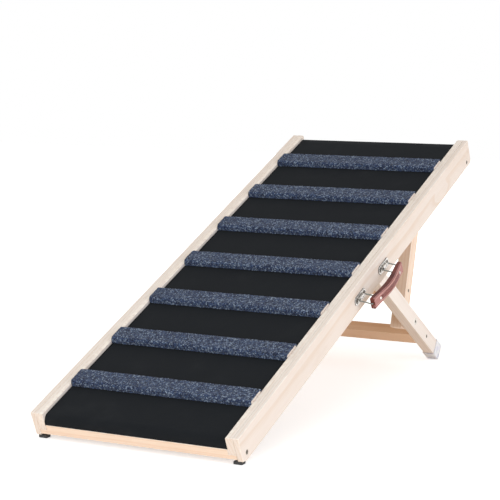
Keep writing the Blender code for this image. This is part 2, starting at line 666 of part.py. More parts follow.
# Each rivet sits on the flat between two stations of the bow
rivet_span = [GRIP_LENGTH * (0.5 - (RIVET_STATION + step) / GRIP_STATIONS) for step in (0, 1)]
rivet_faces = [offset + thick / 2 for offset, thick, width in map(grip_shape_at, rivet_span)]
rivet_face = sum(rivet_faces) / 2
rivet_tilt = math.atan2(rivet_faces[1] - rivet_faces[0], rivet_span[0] - rivet_span[1])
for label, centre, way in (("front", RING_AT[0], 1), ("rear", RING_AT[1], -1)):
    leg_v = centre + way * RING_WIDTH / 2 - HANDLE_CENTRE
    wire_v = centre - HANDLE_CENTRE
    cut(grip, add_rod("grip_tunnel_" + label, WIRE_RADIUS + TUNNEL_CLEARANCE,
                      RING_WIDTH + 2 * (WIRE_RADIUS + TUNNEL_CLEARANCE), None, GRIP,
                      (0.0, wire_v, 0.0), along_v, 12))
    cut(grip, add_box("grip_slot_" + label, (-GRIP_END_THICK, 0.0005), (leg_v - 0.0025, leg_v + 0.0025),
                      (-0.0040, 0.0040), None, GRIP))
    spot = (rivet_face, -way * (rivet_span[0] + rivet_span[1]) / 2, 0.0)
    tilt = (0.0, math.pi / 2, -way * rivet_tilt)
    shank = RIVET_RADIUS / 2
    add_turned("grip_rivet_" + label,
               [(RIVET_RADIUS * 0.4, 0.0014), (RIVET_RADIUS * 0.85, 0.0010), (RIVET_RADIUS, GAP),
                (shank, GAP), (shank, -0.0011)], "steel", GRIP, spot, tilt)
    cut(grip, add_rod("grip_rivet_hole_" + label, shank + GAP, 0.0030, None, GRIP,
                      spot, tilt, 12))
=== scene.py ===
"""Dresses the folding pet ramp: planed timber, felted mat, looped carpet treads, foot caps,
nickel fittings and a stitched leather carrying handle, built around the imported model."""

from __future__ import annotations

import json
import logging
import math
import random
from abc import ABC, abstractmethod
from collections.abc import Callable, Iterable, Mapping, Sequence
from dataclasses import dataclass, field
from enum import Enum
from functools import cached_property

import bmesh
import bpy
from mathutils import Matrix, Vector, noise


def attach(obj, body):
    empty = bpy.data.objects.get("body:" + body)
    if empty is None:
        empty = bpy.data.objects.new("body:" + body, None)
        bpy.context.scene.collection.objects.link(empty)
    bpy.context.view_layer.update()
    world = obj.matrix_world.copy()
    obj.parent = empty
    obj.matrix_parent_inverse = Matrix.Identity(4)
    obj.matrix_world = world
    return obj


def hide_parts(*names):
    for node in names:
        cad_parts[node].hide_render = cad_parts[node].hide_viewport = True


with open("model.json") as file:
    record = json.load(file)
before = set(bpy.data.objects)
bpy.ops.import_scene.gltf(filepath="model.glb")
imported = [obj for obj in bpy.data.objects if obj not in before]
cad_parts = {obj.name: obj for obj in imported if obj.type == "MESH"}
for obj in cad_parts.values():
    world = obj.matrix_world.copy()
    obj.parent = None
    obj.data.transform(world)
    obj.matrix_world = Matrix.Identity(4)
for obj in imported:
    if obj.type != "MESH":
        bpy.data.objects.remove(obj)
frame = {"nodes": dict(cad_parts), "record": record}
LOG = logging.getLogger("ramp")

GAP = 0.0003
MERGE_DISTANCE = 0.00001
FLAT_ANGLE = math.radians(0.6)
CRISP_ANGLE = math.radians(35.0)
SHORTEST_ROUNDED = 0.003
GRAIN_TURN = Matrix.Rotation(math.pi / 2, 4, "Z")
Y_UP = Matrix.Rotation(-math.pi / 2, 4, "X")
WHITE = (1.0, 1.0, 1.0, 1.0)

Colour = tuple[float, float, float, float]
Triple = tuple[float, float, float]
Outline = list[tuple[float, float]]
Object = bpy.types.Object
Shape = bmesh.types.BMesh
Vertex = bmesh.types.BMVert
Socket = bpy.types.NodeSocket
SocketValue = float | Colour | Sequence[float] | Socket
Surface = dict[str, SocketValue]


class Body(Enum):
    """The moving bodies of the ramp."""

    RAMP = "ramp"
    LEGS = "leg_frame"
    STRUTS = "strut_frame"
    RINGS = "handle_rings"
    GRIP = "handle_grip"


class Slot(Enum):
    """The record's material slots."""

    PINE = "pine"
    PLYWOOD = "plywood"
    MAT = "mat"
    CARPET = "carpet"
    RUBBER = "rubber"
    FOOT_CAP = "foot_cap"
    LEATHER = "leather"
    STEEL = "steel"


class Side(Enum):
    """The two sides of the ramp, with the sign of u there."""

    LEFT = -1
    RIGHT = 1

    @property
    def label(self) -> str:
        """The side's name as the nodes spell it."""
        return self.name.lower()


class Recess(Enum):
    """How a screw or bolt head is driven."""

    CROSS = "cross"
    HEX = "hex"


def srgb(red: float, green: float, blue: float) -> Colour:
    """Turn a display colour of 0 to 255 into the linear one that shaders take."""
    linear = []
    for channel in (red, green, blue):
        value = channel / 255.0
        linear.append(value / 12.92 if value <= 0.04045 else ((value + 0.055) / 1.055) ** 2.4)
    return (*linear, 1.0)


def moved(axes: Matrix, u: float, v: float, w: float = 0.0) -> Matrix:
    """Move axes along themselves."""
    return axes @ Matrix.Translation((u, v, w))


# ---------------------------------------------------------------------------------------
# Places


@dataclass(frozen=True)
class RampFrame:
    """Where the ramp's own axes lie: u across it, v up the slope and w out of the deck."""

    mount_v: float = 0.5984
    pivot_v: float = 0.600
    pivot_drop: float = 0.027
    leg_rake: float = math.radians(56.5)
    strut_pivot: float = 0.249
    strut_span: float = 0.2705
    seat_drop: float = 0.0244
    handle_u: float = 0.20418
    handle_v: float = 0.5355
    handle_drop: float = 0.021
    ring_reach: float = 0.0255
    ring_droop: float = math.radians(11.8)

    @cached_property
    def ramp(self) -> Matrix:
        """Axes of the ramp, with the middle of the mat's front edge at the origin."""
        mount = next(item for item in frame["record"]["mounts"] if item["name"] == "deck_surface")
        _, lean, rise = mount["axis"]
        slope = math.atan2(-lean, rise)
        turned = Matrix.Rotation(slope, 4, "X")
        origin = Vector(mount["pos_m"]) - turned @ Vector((0.0, self.mount_v, 0.0))
        return Matrix.Translation(origin) @ turned

    @cached_property
    def legs(self) -> Matrix:
        """Axes of the leg frame at its hinge, with v running down the legs."""
        hinge = self.at(0.0, self.pivot_v, -self.pivot_drop)
        return hinge @ Matrix.Rotation(-self.leg_rake, 4, "X")

    @cached_property
    def struts(self) -> Matrix:
        """Axes of the strut frame at its bolts, with v running up the struts."""
        pin_drop = self.pivot_drop + self.strut_pivot * math.sin(self.leg_rake)
        rise = math.asin((pin_drop - self.seat_drop) / self.strut_span)
        return (moved(self.legs, 0.0, self.strut_pivot)
                @ Matrix.Rotation(self.leg_rake + rise, 4, "X"))

    @cached_property
    def rings(self) -> Matrix:
        """Axes of the handle rings, on their hinge line."""
        return (self.at(self.handle_u, self.handle_v, -self.handle_drop)
                @ Matrix.Rotation(self.ring_droop, 4, "Y"))

    @cached_property
    def grip(self) -> Matrix:
        """Axes of the grip, on the rings' outer wires."""
        return moved(self.rings, self.ring_reach, 0.0) @ Matrix.Rotation(-self.ring_droop, 4, "Y")

    def at(self, u: float, v: float, w: float) -> Matrix:
        """Move the ramp's axes to a point across it, up the slope and out of the deck."""
        return moved(self.ramp, u, v, w)


PLACES = RampFrame()


def outward(side: Side) -> Matrix:
    """Turn a lathe axis so that a head faces out to one side."""
    return Matrix.Rotation(side.value * math.pi / 2, 4, "Y")


# ---------------------------------------------------------------------------------------
# Mesh tools


def seeded_shift(name: str, reach: float = 0.9) -> Vector:
    """Pick a fixed offset from a piece's name, so that no two pieces share their grain."""
    dice = random.Random(name)
    return Vector([dice.uniform(-limit, limit) for limit in (reach, 0.02, 0.02)])


def as_mesh(shape: Shape, name: str) -> bpy.types.Mesh:
    """Turn a shape into a mesh and free it."""
    mesh = bpy.data.meshes.new(name)
    shape.to_mesh(mesh)
    shape.free()
    return mesh


def linked(name: str, data: bpy.types.ID) -> Object:
    """Put an object with this data into the scene."""
    item = bpy.data.objects.new(name, data)
    bpy.context.scene.collection.objects.link(item)
    return item


def make_object(name: str, shape: Shape, axes: Matrix, sharp: float = 35.0,
                shift: Vector | None = None) -> Object:
    """Turn a shape, made in the axes given, into an object with smooth rounds and crisp flats.

    Edges above the sharp angle in degrees stay crisp. A shift moves the object's origin, and so
    its texture, away from those axes.
    """
    shift = shift or Vector()
    bmesh.ops.translate(shape, vec=shift, verts=shape.verts)
    mesh = as_mesh(shape, name)
    for polygon in mesh.polygons:
        polygon.use_smooth = True
    mesh.set_sharp_from_angle(angle=math.radians(sharp))
    piece = linked(name, mesh)
    piece.matrix_world = axes @ Matrix.Translation(-shift)
    return piece


def mark(shape: Shape, name: str, strength: Callable[[Vertex], float]) -> None:
    """Write a vertex layer that a finish reads, such as edge wear and painted highlight, or tarnish
    and the hold-back of a painted sheen.
    """
    layer = shape.verts.layers.float.new(name)
    for vertex in shape.verts:
        vertex[layer] = float(strength(vertex))


def round_edges(shape: Shape, width: float, segments: int) -> None:
    """Round the crisp edges, except the short ones round drilled holes, and mark them for wear and,
    on timber, a painted highlight.
    """
    edges = [edge for edge in shape.edges
             if len(edge.link_faces) == 2 and edge.calc_face_angle() > CRISP_ANGLE
             and edge.calc_length() > SHORTEST_ROUNDED]
    for face in shape.faces:
        face.material_index = 0
    bmesh.ops.bevel(shape, geom=edges, offset=width, offset_type="OFFSET", segments=segments,
                    profile=0.5, affect="EDGES", clamp_overlap=False, material=1)
    mark(shape, "wear", lambda vertex: bool(vertex.link_faces)
         and all(face.material_index == 1 for face in vertex.link_faces))
    for face in shape.faces:
        face.material_index = 0


def softened(node: str, axes: Matrix, width: float, segments: int = 3) -> Object:
    """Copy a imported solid, with its machined edges eased as sanding leaves them.

    X of the axes runs along the piece's grain.
    """
    source = frame["nodes"][node]
    shape = bmesh.new()
    shape.from_mesh(source.data)
    shape.transform(axes.inverted() @ source.matrix_world)
    bmesh.ops.remove_doubles(shape, verts=shape.verts, dist=MERGE_DISTANCE)
    bmesh.ops.dissolve_limit(shape, angle_limit=FLAT_ANGLE, verts=shape.verts, edges=shape.edges)
    bmesh.ops.recalc_face_normals(shape, faces=shape.faces)
    round_edges(shape, width, segments)
    piece = make_object(node + "_dressed", shape, axes, 50.0, seeded_shift(node))
    weighted = piece.modifiers.new("even_normals", "WEIGHTED_NORMAL")
    weighted.keep_sharp = True
    weighted.weight = 100
    return piece


def loft(loops: Sequence[Sequence[Vector]], closed_path: bool = False,
         open_section: bool = False) -> Shape:
    """Skin a row of equal point loops, with its faces turned outwards and its ends closed.

    A closed path joins its last loop to its first. An open section is a line instead of a ring.
    """
    shape = bmesh.new()
    rows = [[shape.verts.new(point) for point in loop] for loop in loops]
    count = len(rows[0])
    for low, high in zip(rows, rows[1:] + (rows[:1] if closed_path else [])):
        for index in range(count - 1 if open_section else count):
            after = (index + 1) % count
            shape.faces.new((low[index], low[after], high[after], high[index]))
    if not closed_path and not open_section:
        shape.faces.new(list(reversed(rows[0])))
        shape.faces.new(rows[-1])
    bmesh.ops.recalc_face_normals(shape, faces=shape.faces)
    return shape


def ring_points(radius: float, height: float, steps: int) -> list[Vector]:
    """Points of a circle about Z."""
    return [Vector((radius * math.cos(turn), radius * math.sin(turn), height))
            for turn in (math.tau * step / steps for step in range(steps))]


def turned(profile: Outline, steps: int = 32) -> Shape:
    """Turn a profile of (radius, height) points about Z, closed at both ends."""
    return loft([ring_points(radius, height, steps) for radius, height in profile])


def arc(centre: tuple[float, float], radius: float, start: float, end: float,
        steps: int) -> Outline:
    """Points on an arc, both ends included, with its angles in degrees."""
    angles = [math.radians(start + (end - start) * step / steps) for step in range(steps + 1)]
    return [(centre[0] + radius * math.cos(angle), centre[1] + radius * math.sin(angle))
            for angle in angles]


def rounded_outline(width: float, height: float, radius: float, steps: int = 6) -> Outline:
    """Outline of a rectangle with rounded corners, centred on zero."""
    points = []
    for across, up, start in ((1, 1, 0.0), (-1, 1, 90.0), (-1, -1, 180.0), (1, -1, 270.0)):
        centre = (across * (width / 2 - radius), up * (height / 2 - radius))
        points += arc(centre, radius, start, start + 90.0, steps)
    return points


def dense_outline(outline: Outline, step: float) -> Outline:
    """Put more points on a closed outline, about a step apart."""
    dense = []
    for (x0, z0), (x1, z1) in zip(outline, [*outline[1:], outline[0]]):
        steps = max(1, round(math.hypot(x1 - x0, z1 - z0) / step))
        dense += [(x0 + (x1 - x0) * share / steps, z0 + (z1 - z0) * share / steps)
                  for share in range(steps)]
    return dense


def eased(value: float) -> float:
    """Smooth step from 0 to 1, held at both ends."""
    value = min(1.0, max(0.0, value))
    return value * value * (3 - 2 * value)


def add_block(shape: Shape, size: Triple, axes: Matrix) -> None:
    """Add a plain block, used only as a cutting tool, to a shape."""
    bmesh.ops.create_cube(shape, size=1.0, matrix=axes @ Matrix.Diagonal((*size, 1.0)))


def merge(target: Shape, extra: Shape, axes: Matrix) -> None:
    """Move one shape into place inside another; the added one is freed."""
    extra.transform(axes)
    carrier = as_mesh(extra, "carrier")
    target.from_mesh(carrier)
    bpy.data.meshes.remove(carrier)


def carved(shape: Shape, tools: Iterable[Shape]) -> Shape:
    """Cut closed tools out of a shape, one after another; all of them are freed here."""
    made = [linked("temporary", as_mesh(part, "temporary")) for part in (shape, *tools)]
    for tool in made[1:]:
        modifier = made[0].modifiers.new("cut", "BOOLEAN")
        modifier.operation = "DIFFERENCE"
        modifier.solver = "EXACT"
        modifier.object = tool
    graph = bpy.context.evaluated_depsgraph_get()
    mesh = bpy.data.meshes.new_from_object(made[0].evaluated_get(graph))
    result = bmesh.new()
    result.from_mesh(mesh)
    bpy.data.meshes.remove(mesh)
    for item in made:
        data = item.data
        bpy.data.objects.remove(item, do_unlink=True)
        bpy.data.meshes.remove(data)
    return result


# ---------------------------------------------------------------------------------------
# Shader tools


@dataclass
class NodeWriter:
    """Adds and links nodes in one tree."""

    tree: bpy.types.NodeTree

    @cached_property
    def place(self) -> Socket:
        """Where textures lie: the object's own axes, unless a group sets another vector."""
        return self.add("ShaderNodeTexCoord").outputs["Object"]

    def feed(self, socket: Socket, value: SocketValue) -> None:
        """Link a socket to another or give it a value."""
        if isinstance(value, Socket):
            self.tree.links.new(value, socket)
        else:
            socket.default_value = value

    def shade(self, shader: str, surface: Surface) -> None:
        """Feed the inputs of the shader that a new tree comes with."""
        for name, value in surface.items():
            self.feed(self.tree.nodes[shader].inputs[name], value)

    def add(self, kind: str, inputs: Mapping[str | int, SocketValue] | None = None,
            **settings: object) -> bpy.types.Node:
        """Add a node, with its inputs by name or number and its properties."""
        node = self.tree.nodes.new(kind)
        for name, value in settings.items():
            setattr(node, name, value)
        for key, value in (inputs or {}).items():
            self.feed(node.inputs[key], value)
        return node

    def math(self, operation: str, *values: SocketValue, clamp: bool = False) -> Socket:
        """Add a Math node."""
        return self.add("ShaderNodeMath", dict(enumerate(values)), operation=operation,
                        use_clamp=clamp).outputs[0]

    def times(self, first: SocketValue, second: SocketValue, clamp: bool = False) -> Socket:
        """Multiply two values."""
        return self.math("MULTIPLY", first, second, clamp=clamp)

    def plus(self, value: SocketValue, share: SocketValue, base: SocketValue,
             clamp: bool = False) -> Socket:
        """Add a share of a value to a base."""
        return self.math("MULTIPLY_ADD", value, share, base, clamp=clamp)

    def vector(self, operation: str, *values: SocketValue) -> bpy.types.NodeOutputs:
        """Add a Vector Math node."""
        return self.add("ShaderNodeVectorMath", dict(enumerate(values)),
                        operation=operation).outputs

    def texture(self, kind: str, inputs: Mapping[str, SocketValue],
                **settings: object) -> bpy.types.NodeOutputs:
        """Add a texture."""
        return self.add("ShaderNodeTex" + kind, {"Vector": self.place, **inputs},
                        **settings).outputs

    def noise(self, scale: SocketValue, detail: float = 2.0, roughness: float = 0.5,
              stretch: Triple | None = None) -> Socket:
        """Add a Noise Texture, scaled differently along its axes where a stretch is given."""
        inputs = {"Scale": scale, "Detail": detail, "Roughness": roughness}
        if stretch:
            inputs["Vector"] = self.vector("MULTIPLY", self.place, stretch)[0]
        return self.texture("Noise", inputs)["Fac"]

    def mix(self, factor: SocketValue, low: SocketValue, high: SocketValue) -> Socket:
        """Blend two colours."""
        return self.add("ShaderNodeMix", {0: factor, 6: low, 7: high}, data_type="RGBA",
                        blend_type="MIX", clamp_factor=True).outputs[2]

    def span(self, value: Socket, low: float, high: float, out_low: float = 0.0,
             out_high: float = 1.0) -> Socket:
        """Remap a value smoothly from one range to another, held at the ends."""
        return self.add("ShaderNodeMapRange", {"Value": value, "From Min": low, "From Max": high,
                                               "To Min": out_low, "To Max": out_high},
                        interpolation_type="SMOOTHSTEP").outputs["Result"]

    def ramp(self, value: Socket, stops: Sequence[tuple[float, Colour]],
             interpolation: str) -> Socket:
        """Turn a value into a colour by its stops."""
        node = self.add("ShaderNodeValToRGB", {0: value})
        ramp = node.color_ramp
        ramp.interpolation = interpolation
        while len(ramp.elements) < len(stops):
            ramp.elements.new(1.0)
        for element, (position, colour) in zip(ramp.elements, stops):
            element.position = position
            element.color = colour
        return node.outputs["Color"]

    def bump(self, height: Socket, distance: float, strength: float) -> Socket:
        """Turn a height into a normal."""
        return self.add("ShaderNodeBump", {"Height": height, "Distance": distance,
                                           "Strength": strength}).outputs["Normal"]

    def layer(self, name: str) -> Socket:
        """Value of a vertex layer."""
        return self.add("ShaderNodeAttribute", attribute_name=name).outputs["Fac"]

    def placed(self, group: bpy.types.NodeTree,
               inputs: Mapping[str, SocketValue]) -> bpy.types.NodeOutputs:
        """Place a node group with its own values."""
        return self.add("ShaderNodeGroup", {"Vector": self.place, **inputs},
                        node_tree=group).outputs

    def give(self, **results: Socket) -> bpy.types.NodeTree:
        """Finish a node group with its results."""
        for label in results:
            kind = "Color" if label == "Color" else "Float"
            self.tree.interface.new_socket(name=label, in_out="OUTPUT",
                                           socket_type="NodeSocket" + kind)
        self.add("NodeGroupOutput", results)
        return self.tree


def grey(value: float) -> Colour:
    """A grey of the given strength."""
    return value, value, value, 1.0


class EffectLibrary:
    """Node groups shared by several finishes, each built the first time it is asked for."""

    def _group(self, name: str, inputs: Mapping[str, SocketValue | None]
               ) -> tuple[NodeWriter, bpy.types.NodeOutputs]:
        """Start a node group, whose inputs with no value are vectors."""
        write = NodeWriter(bpy.data.node_groups.new(name, "ShaderNodeTree"))
        for label, value in {"Vector": None, **inputs}.items():
            kind = "Vector" if value is None else "Float" if isinstance(value, float) else "Color"
            socket = write.tree.interface.new_socket(name=label, in_out="INPUT",
                                                     socket_type="NodeSocket" + kind)
            if value is not None:
                socket.default_value = value
        given = write.add("NodeGroupInput").outputs
        write.place = given["Vector"]
        return write, given

    @cached_property
    def timber_grain(self) -> bpy.types.NodeTree:
        """Growth rings, fibres and rare knots of a board whose grain runs along X."""
        write, given = self._group("timber_grain", {
            "Ring Spacing": 0.004, "Heart": None, "Early Wood": grey(0.8), "Late Wood": grey(0.5),
            "Ring Depth": 0.5, "Fibre Depth": 0.3, "Knot Depth": 0.5})
        cells = write.texture("Voronoi", {
            "Vector": write.vector("MULTIPLY", write.place, (3.1, 9.0, 9.0))[0], "Scale": 1.0,
            "Randomness": 1.0})["Distance"]
        near_knot = write.span(cells, 0.05, 0.22, 1.0, 0.0)
        knot = write.span(cells, 0.025, 0.05, 1.0, 0.0)
        wander = write.noise(1.0, 1.0, stretch=(1.7, 6.0, 6.0))
        ripple = write.noise(1.0, 2.0, stretch=(7.0, 55.0, 55.0))
        heart = write.vector("SUBTRACT", write.place, given["Heart"])[0]
        radius = write.vector("MULTIPLY", heart, (0.0, 1.0, 1.0))[0]
        radius = write.vector("LENGTH", radius)["Value"]
        for bend, reach in ((wander, 0.016), (ripple, 0.0022), (near_knot, 0.006)):
            radius = write.plus(bend, reach, radius)
        phase = write.math("FRACT", write.math("DIVIDE", radius, given["Ring Spacing"]))
        ring = write.ramp(phase, [(0.0, grey(0.05)), (0.45, grey(0.12)), (0.86, grey(1.0)),
                                  (0.93, grey(0.9)), (1.0, grey(0.05))], "EASE")
        fibre = write.noise(1.0, 3.0, 0.6, (11.0, 620.0, 620.0))
        patch = write.noise(1.0, 2.0, stretch=(2.2, 16.0, 16.0))
        amount = write.times(ring, given["Ring Depth"])
        amount = write.plus(write.math("SUBTRACT", fibre, 0.5), given["Fibre Depth"], amount)
        amount = write.plus(write.math("SUBTRACT", patch, 0.45), 0.35, amount)
        amount = write.plus(knot, given["Knot Depth"], amount, clamp=True)
        return write.give(Color=write.mix(amount, given["Early Wood"], given["Late Wood"]),
                          Height=write.plus(fibre, 0.6, write.times(ring, 0.4)), Fibre=fibre)

    @cached_property
    def edge_wear(self) -> bpy.types.NodeTree:
        """Broken-up wear along the edges that the Edge input marks, which on timber and leather
        also places a painted highlight.
        """
        write, given = self._group("edge_wear", {"Edge": 0.0, "Scale": 90.0, "Amount": 0.5})
        broken = write.span(write.noise(given["Scale"], 4.0, 0.65), 0.38, 0.62)
        return write.give(Mask=write.times(write.times(given["Edge"], broken), given["Amount"],
                                           clamp=True))

    @cached_property
    def surface_dust(self) -> bpy.types.NodeTree:
        """Soft patches of dust and handling marks."""
        write, given = self._group("surface_dust", {"Scale": 12.0, "Amount": 0.3})
        broad = write.span(write.noise(given["Scale"], 5.0, 0.6), 0.42, 0.72)
        specks = write.span(write.noise(900.0, 1.0), 0.60, 0.78)
        return write.give(Mask=write.times(write.plus(specks, 0.25, broad), given["Amount"],
                                           clamp=True))

    @cached_property
    def fine_pebble(self) -> bpy.types.NodeTree:
        """Pebbled height field for felt, rubber and leather."""
        write, given = self._group("fine_pebble", {"Scale": 600.0, "Softness": 0.5})
        cells = write.texture("Voronoi", {"Scale": given["Scale"]}, feature="SMOOTH_F1")
        grain = write.noise(write.times(given["Scale"], 2.3), 3.0)
        kept = write.math("SUBTRACT", 1.0, given["Softness"])
        return write.give(Height=write.plus(cells["Distance"], kept,
                                            write.times(grain, given["Softness"])))


EFFECTS = EffectLibrary()


# ---------------------------------------------------------------------------------------
# Finishes


@dataclass(frozen=True)
class Finish(ABC):
    """A material, written the first time that a piece wears it."""

    name: str
    slot: Slot

    @property
    def material(self) -> bpy.types.Material:
        """The finish's material."""
        known = bpy.data.materials.get(self.name)
        if known is not None:
            return known
        material = bpy.data.materials.new(self.name)
        material.use_nodes = True
        write = NodeWriter(material.node_tree)
        write.shade("Principled BSDF", self.surface(write))
        return material

    @abstractmethod
    def surface(self, write: NodeWriter) -> Surface:
        """Write the finish's nodes, and give the values and sockets of the Principled shader."""

    def worn_edges(self, write: NodeWriter, scale: float, amount: float) -> Socket:
        """Mask of wear on the piece's rounded edges, with a painted highlight there on timber and
        leather.
        """
        return write.placed(EFFECTS.edge_wear, {"Edge": write.layer("wear"), "Scale": scale,
                                                "Amount": amount})["Mask"]

    def dust(self, write: NodeWriter, scale: float, amount: float) -> Socket:
        """Mask of dust and handling marks."""
        return write.placed(EFFECTS.surface_dust, {"Scale": scale, "Amount": amount})["Mask"]

    def pebble(self, write: NodeWriter, scale: float, softness: float) -> Socket:
        """Height of a pebbled surface."""
        return write.placed(EFFECTS.fine_pebble, {"Scale": scale, "Softness": softness})["Height"]


@dataclass(frozen=True)
class TimberFinish(Finish):
    """Planed and clear-sealed softwood."""

    early: Colour = srgb(237, 228, 223)
    late: Colour = srgb(216, 190, 165)
    worn: Colour = srgb(250, 244, 236)
    ring_spacing: float = 0.0062
    ring_depth: float = 0.30
    heart: Triple = (0.0, 0.035, -0.055)

    def surface(self, write: NodeWriter) -> Surface:
        """Write rings, fibres, pale edges that are partly wear and partly a painted highlight, and
        a satin seal.
        """
        grain = write.placed(EFFECTS.timber_grain, {
            "Ring Spacing": self.ring_spacing, "Heart": self.heart, "Early Wood": self.early,
            "Late Wood": self.late, "Ring Depth": self.ring_depth, "Fibre Depth": 0.5,
            "Knot Depth": 0.75})
        # Pale edges: partly wear, partly a painted highlight along the rounded edges.
        edge = self.worn_edges(write, 140.0, 0.9)
        marks = self.dust(write, 9.0, 0.14)
        colour = write.mix(marks, write.mix(edge, grain["Color"], self.worn), self.late)
        rough = write.plus(marks, 0.25, write.span(grain["Fibre"], 0.3, 0.7, 0.43, 0.59))
        return {"Base Color": colour, "Roughness": rough, "Specular IOR Level": 0.35,
                "Normal": write.bump(grain["Height"], 0.00012, 0.5)}


@dataclass(frozen=True)
class PlyFinish(Finish):
    """Thin birch plywood, its layers showing at the edges across Z."""

    face: Colour = srgb(214, 190, 154)
    core: Colour = srgb(150, 112, 74)
    ply: float = 0.0016

    def surface(self, write: NodeWriter) -> Surface:
        """Write face grain and alternating layers."""
        grain = write.placed(EFFECTS.timber_grain, {
            "Ring Spacing": 0.011, "Heart": (0.0, 0.02, -0.4), "Early Wood": self.face,
            "Late Wood": self.core, "Ring Depth": 0.25, "Fibre Depth": 0.5, "Knot Depth": 0.0})
        height = write.add("ShaderNodeSeparateXYZ", {0: write.place}).outputs["Z"]
        stripe = write.math("PINGPONG", height, self.ply)
        shade = write.span(stripe, self.ply * 0.3, self.ply * 0.7, 0.0, 0.45)
        marks = self.dust(write, 10.0, 0.2)
        colour = write.mix(marks, write.mix(shade, grain["Color"], self.core), self.core)
        return {"Base Color": colour, "Roughness": 0.62,
                "Normal": write.bump(grain["Height"], 0.0002, 0.5)}


@dataclass(frozen=True)
class MatFinish(Finish):
    """Near-black rubber-backed mat with a very short pile."""

    colour: Colour = srgb(22, 25, 29)
    faded: Colour = srgb(44, 46, 49)

    def surface(self, write: NodeWriter) -> Surface:
        """Write a fine felted surface with faint scuffs."""
        pebble = self.pebble(write, 850.0, 0.6)
        broad = write.noise(7.0, 4.0, 0.6)
        marks = write.times(self.dust(write, 15.0, 0.30), write.span(broad, 0.4, 0.7))
        fade = write.math("MAXIMUM", marks, self.worn_edges(write, 200.0, 0.4))
        fade = write.plus(write.span(pebble, 0.3, 0.6), 0.12, fade)
        return {"Base Color": write.mix(fade, self.colour, self.faded), "Roughness": 0.88,
                "Specular IOR Level": 0.12, "Normal": write.bump(pebble, 0.00025, 0.7)}


@dataclass(frozen=True)
class CarpetFinish(Finish):
    """Heather carpet: tufts in mixed navy, slate and grey yarn."""

    deep: Colour = srgb(30, 39, 62)
    navy: Colour = srgb(52, 69, 109)
    slate: Colour = srgb(84, 108, 150)
    pale: Colour = srgb(164, 184, 212)
    grey: Colour = srgb(108, 122, 148)

    def surface(self, write: NodeWriter) -> Surface:
        """Write coloured tufts with dark gaps between them."""
        jitter = write.texture("Noise", {"Scale": 260.0, "Detail": 2.0})["Color"]
        spread = write.vector("MULTIPLY_ADD", jitter, (0.0022,) * 3, write.place)[0]
        tufts = write.texture("Voronoi", {"Vector": spread, "Scale": 440.0})
        pick = write.add("ShaderNodeSeparateColor", {0: tufts["Color"]}).outputs[0]
        yarn = write.ramp(pick, [(0.0, self.deep), (0.16, self.navy), (0.36, self.slate),
                                 (0.58, self.grey), (0.70, self.navy), (0.80, self.pale)],
                          "CONSTANT")
        blotch = write.noise(60.0, 3.0)
        yarn = write.mix(write.span(blotch, 0.45, 0.75, 0.0, 0.3), yarn, self.slate)
        strand = write.noise(2600.0)
        depth = write.span(tufts["Distance"], 0.15, 0.75)
        shade = write.plus(strand, 0.35, write.times(depth, 0.6), clamp=True)
        pile = write.math("SUBTRACT", write.times(strand, 0.5), depth)
        return {"Base Color": write.mix(shade, yarn, self.deep), "Roughness": 0.95,
                "Specular IOR Level": 0.1, "Sheen Weight": 0.12, "Sheen Roughness": 0.6,
                "Normal": write.bump(pile, 0.0012, 0.9)}


@dataclass(frozen=True)
class RubberFinish(Finish):
    """Moulded black rubber."""

    colour: Colour = srgb(30, 30, 31)
    dusty: Colour = srgb(74, 72, 70)

    def surface(self, write: NodeWriter) -> Surface:
        """Write fine ribs, dust and worn corners."""
        ribs = write.texture("Wave", {"Scale": 160.0, "Distortion": 0.4, "Detail": 1.0},
                             bands_direction="Z")["Fac"]
        marks = self.dust(write, 40.0, 0.5)
        pale = write.math("MAXIMUM", marks, self.worn_edges(write, 300.0, 0.6))
        return {"Base Color": write.mix(pale, self.colour, self.dusty),
                "Roughness": write.plus(marks, 0.2, 0.62),
                "Normal": write.bump(ribs, 0.0004, 0.6)}


@dataclass(frozen=True)
class VinylFinish(Finish):
    """Milky dipped vinyl over a foot."""

    colour: Colour = srgb(243, 246, 255)
    thin: Colour = srgb(224, 226, 244)
    scuff: Colour = srgb(150, 148, 162)

    def surface(self, write: NodeWriter) -> Surface:
        """Write cloudy vinyl with scuffed edges."""
        cloud = write.span(write.noise(95.0, 4.0, 0.6), 0.4, 0.66)
        marks = write.math("MAXIMUM", self.worn_edges(write, 260.0, 0.45),
                           self.dust(write, 70.0, 0.25))
        colour = write.mix(marks, write.mix(cloud, self.colour, self.thin), self.scuff)
        return {"Base Color": colour, "Roughness": write.plus(cloud, 0.16, 0.34),
                "Specular IOR Level": 0.5, "Subsurface Weight": 0.06,
                "Normal": write.bump(cloud, 0.0003, 0.35)}


